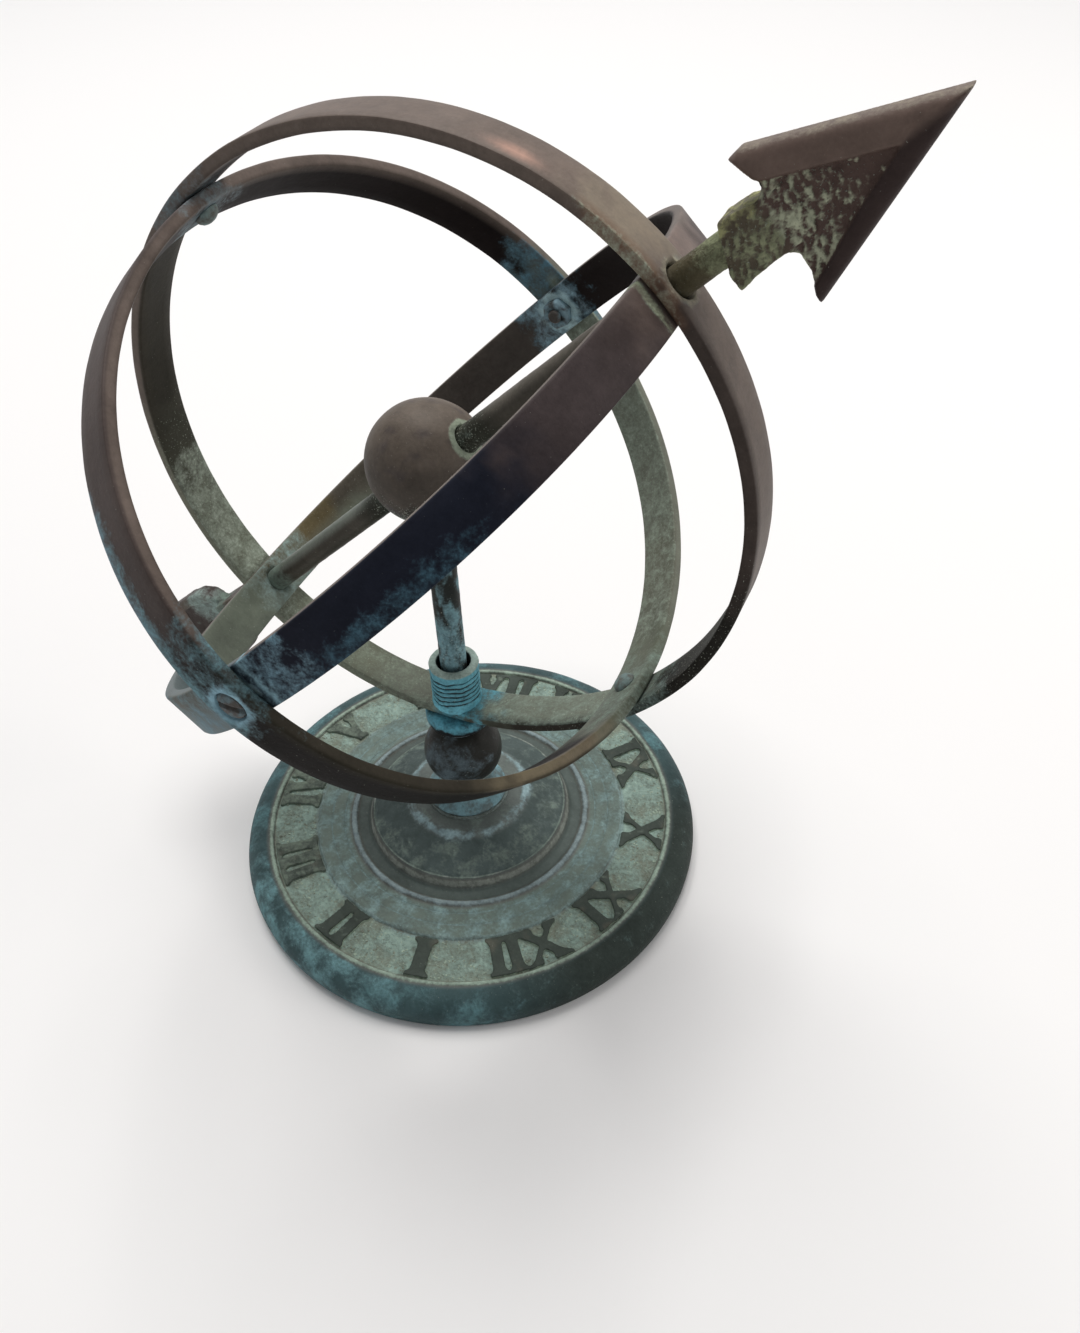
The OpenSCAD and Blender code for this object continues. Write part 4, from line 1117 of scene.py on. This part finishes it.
# %% Arrowhead
q = to_polar(points_of(arrowhead))
x, y, z = q.T
gap_upper, gap_lower = edge_distance(q, TIP, UPPER_BARB), edge_distance(q, TIP, LOWER_BARB)
gap_rear = np.min([edge_distance(q, a, b) for edge in (rear_upper, rear_lower)
                   for a, b in zip(edge, edge[1:])], axis=0)
inside_lower = gap_lower / (3.4 + 1.2 * ease(113, 132, x))
inside = np.minimum(gap_upper / 6.4, inside_lower)
near_edge = np.minimum(np.minimum(gap_upper, gap_lower), gap_rear * 1.6)
edge_round = np.sqrt(np.clip(1 - (1 - np.clip(near_edge / 3.0, 0, 1)) ** 2, 0, 1))
hollow = ease(0.9, 1.04, inside) * ease(143, 139.5, x)
shank_zone = ease(115, 111.5, x) * ease(8, 6, np.abs(z + 1.5))
height = (0.3 + 0.7 * edge_round) * (1 - 0.34 * hollow) * (1 - shank_zone) + shank_zone
rough = np.maximum(hollow * ease(141, 128, x), shank_zone)
lumps = waves(q, 2.8, 71) * 0.26 + waves(q, 1.5, 72) * 0.26
ridge = hollow * ease(1.5, 1.05, inside) * ease(0.1, 0.7, waves(q, 3, 75)) * 0.5
set_points(arrowhead, from_polar(np.column_stack([
    x, y * height + np.sign(y) * (lumps * rough + ridge + waves(q, 9, 73) * 0.05),
    z + waves(q, 3.5, 74) * 0.1 * rough])))
patina = Patina(arrowhead, (96, 80, 72), (146, 156, 132))
patina.stain_and_painted_light(ease(1.05, 0.9, inside_lower) * ease(-1.6, -4.2, z), (54, 44, 42))
patina.stain_and_painted_light(hollow, (80, 64, 58))
patina.stain_and_painted_light(shank_zone, (84, 76, 62))
patina.crust(rough * hollow * ease(140, 126, x) *
             np.clip(0.25 + lumps * 1.9 + 0.22 * ease(128, 116, x), 0, 1), (166, 170, 146))
patina.crust(np.minimum(ridge * 1.6, 0.9), (150, 148, 128))
patina.crust(shank_zone * np.clip(0.4 + lumps * 1.6, 0, 1), (132, 136, 108))
patina.crust(shank_zone * ease(1, 4.5, z) * 0.5, (150, 150, 108))
patina.crust(ease(1.2, 0.2, gap_upper) * 0.45, (140, 132, 118))
patina.speck = 0.1 + 0.5 * rough
patina.grit = rough
settle(patina, arrow_bronze, "armillary", "arrow", "arrowhead")

# %% [markdown]
# The tail is a thin plate with a raised rib along each outer edge and one in the middle, and a thicker
# block that holds the rod. The thin plate between the ribs is painted darker, as painted shade. Blue-green
# salts lie where the upper feather meets the block.

# %% Arrow tail
half_tail = [(-110.6, 5.2), (-113.6, 9.4), (-117.5, 12.1), (-124.2, 13.3), (-136, 13.7), (-144.4, 13.8)]
rib = [(-112.5, 6.8), (-114.2, 9.4), (-118, 11.7), (-124.4, 13.0), (-144.2, 13.5), (-142.4, 10.6),
       (-124, 10.2), (-118, 8.6)]
tail = joined("arrow_tail_cast", [
    plate(half_tail + [(-135.6, 0)] + [(x, -z) for x, z in half_tail[::-1]], 2.4),
    plate([(-100.5, 4.6), (-100.5, -4.6), (-113.5, -5.2), (-113.5, 5.2)], 4.4),
    plate([(-112, 1.1), (-138, 1.1), (-138, -1.1), (-112, -1.1)], 3.3),
    plate(rib, 3.3), plate([(x, -z) for x, z in rib[::-1]], 3.3)])
soften(tail, 0.42, 3)
q = to_polar(points_of(tail))
x, y, z = q.T
set_points(tail, from_polar(np.column_stack([
    x, y + np.sign(y) * (waves(q, 3, 81) * 0.16 + waves(q, 10, 82) * 0.08), z + waves(q, 5, 83) * 0.1])))


def near(centre, radius):
    """1 at a place and 0 beyond a radius from it."""
    return 1 - ease(0, radius, np.linalg.norm(q - centre, axis=1))


patina = Patina(tail, (84, 76, 66), (106, 122, 112))
# painted shade: the thin plate's faces between the ribs and the block are darker
patina.stain_and_painted_light(ease(3.2, 2.6, np.abs(y)), (62, 54, 50))
patina.crust(near((-114, -3, 3), 14) * 0.8 + uneven(q, 6, 84, 0, 0.4))
patina.crust(near((-120, -3, 9), 12) * 0.7, (136, 154, 148))
patina.speck = 0.2
patina.grit = ease(-114, -108, x)
settle(patina, arrow_bronze, "armillary", "arrow", "arrow_tail")

# %% [markdown]
# ## Pieces that stay as packed
# The washers, the stud and its nut under the dial are plain turned shapes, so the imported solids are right
# as they are and only take a finish.

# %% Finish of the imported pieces
fitting_bronze = bronze("fitting_bronze", metal=(96, 100, 92), salts=(140, 156, 154), share=0.45, bump=0.25)
spring_steel = bronze("spring_steel", metal=(88, 86, 84), salts=(120, 84, 60), share=0.35, bump=0.2)
for name in ("seat_washer", "stem_stud", "flat_washer", "stem_nut", "spring_washer"):
    for slot in nodes[name].material_slots:
        slot.material = spring_steel if name == "spring_washer" else fitting_bronze
print("finished as packed:", [o for o in nodes if not nodes[o].hide_render])

# %% [markdown]
# ## Floor, light and camera
# A plain pale floor lies under the dial. The room gives a weak light from all sides, but looks nearly
# white to the camera and in reflections, as a bright room does in worn bronze.

# %% Floor and room
FLOOR_SIZE = 4000
FLOOR_COLOUR, FLOOR_ROUGH = (0.88, 0.875, 0.87, 1), 0.6
SKY_COLOUR, SKY_LIGHT, SKY_SEEN = (0.96, 0.97, 1.0, 1), 0.30, 0.92
corners = np.array([(-1, -1, 0), (1, -1, 0), (1, 1, 0), (-1, 1, 0)]) * FLOOR_SIZE
floor = new_mesh("floor", corners, [(0, 1, 2, 3)])
floor_paint = bpy.data.materials.new("pale_floor")
floor_paint.use_nodes = True
feed(floor_paint.node_tree, floor_paint.node_tree.nodes["Principled BSDF"],
     {"Base Color": FLOOR_COLOUR, "Roughness": FLOOR_ROUGH})
floor.data.materials.append(floor_paint)
world = bpy.data.worlds.new("soft_room")
bpy.context.scene.world = world
world.use_nodes = True
sky = world.node_tree
rays = add(sky, "ShaderNodeLightPath")
direct = math_node(sky, "MINIMUM", total(sky, rays["Is Camera Ray"], rays["Is Glossy Ray"],
                                         rays["Is Transmission Ray"]), 1)
feed(sky, sky.nodes["Background"], {"Color": SKY_COLOUR,
                                    "Strength": total(sky, (direct, SKY_SEEN - SKY_LIGHT), SKY_LIGHT)})
print("floor and room ready")

# %% [markdown]
# One wide soft lamp hangs above on the left and a weak small one stands on the right, like a window. The
# camera stands where the photographer stood: its lens, place and turn were solved from the hoops and dial.

# %% Lamps and camera
LOOK_AT = (0, 0, 0.12)
CAMERA_PLACE = (135.80, -215.49, 320.22)


def area_light(name, place, size, power, colour):
    lamp = bpy.data.lights.new(name, "AREA")
    lamp.shape, lamp.size, lamp.energy, lamp.color = "DISK", size, power, colour
    thing = bpy.data.objects.new(name, lamp)
    bpy.context.scene.collection.objects.link(thing)
    thing.location = place
    thing.rotation_euler = (Vector(LOOK_AT) - Vector(place)).to_track_quat("-Z", "Y").to_euler()


area_light("ceiling", (-0.5, 0.7, 2.2), size=1.6, power=46, colour=(1.0, 0.98, 0.96))
area_light("window", (1.0, 0.5, 0.7), size=0.6, power=3.2, colour=(1.0, 0.96, 0.92))
camera = bpy.data.objects.new("camera", bpy.data.cameras.new("camera"))
bpy.context.scene.collection.objects.link(camera)
camera.data.lens = 31.37
camera.data.sensor_width = 36
camera.data.clip_start = 0.01
right, above, back = (0.90827, 0.41724, -0.03093), (-0.26917, 0.63935, 0.72026), (0.32030, -0.64587, 0.69301)
pose = Matrix((right, above, back)).transposed().to_4x4()
pose.translation = Vector(CAMERA_PLACE) * MM
camera.matrix_world = pose
bpy.context.scene.camera = camera
bpy.context.scene.view_settings.view_transform = "Standard"
print("camera at", [round(v, 3) for v in pose.translation])
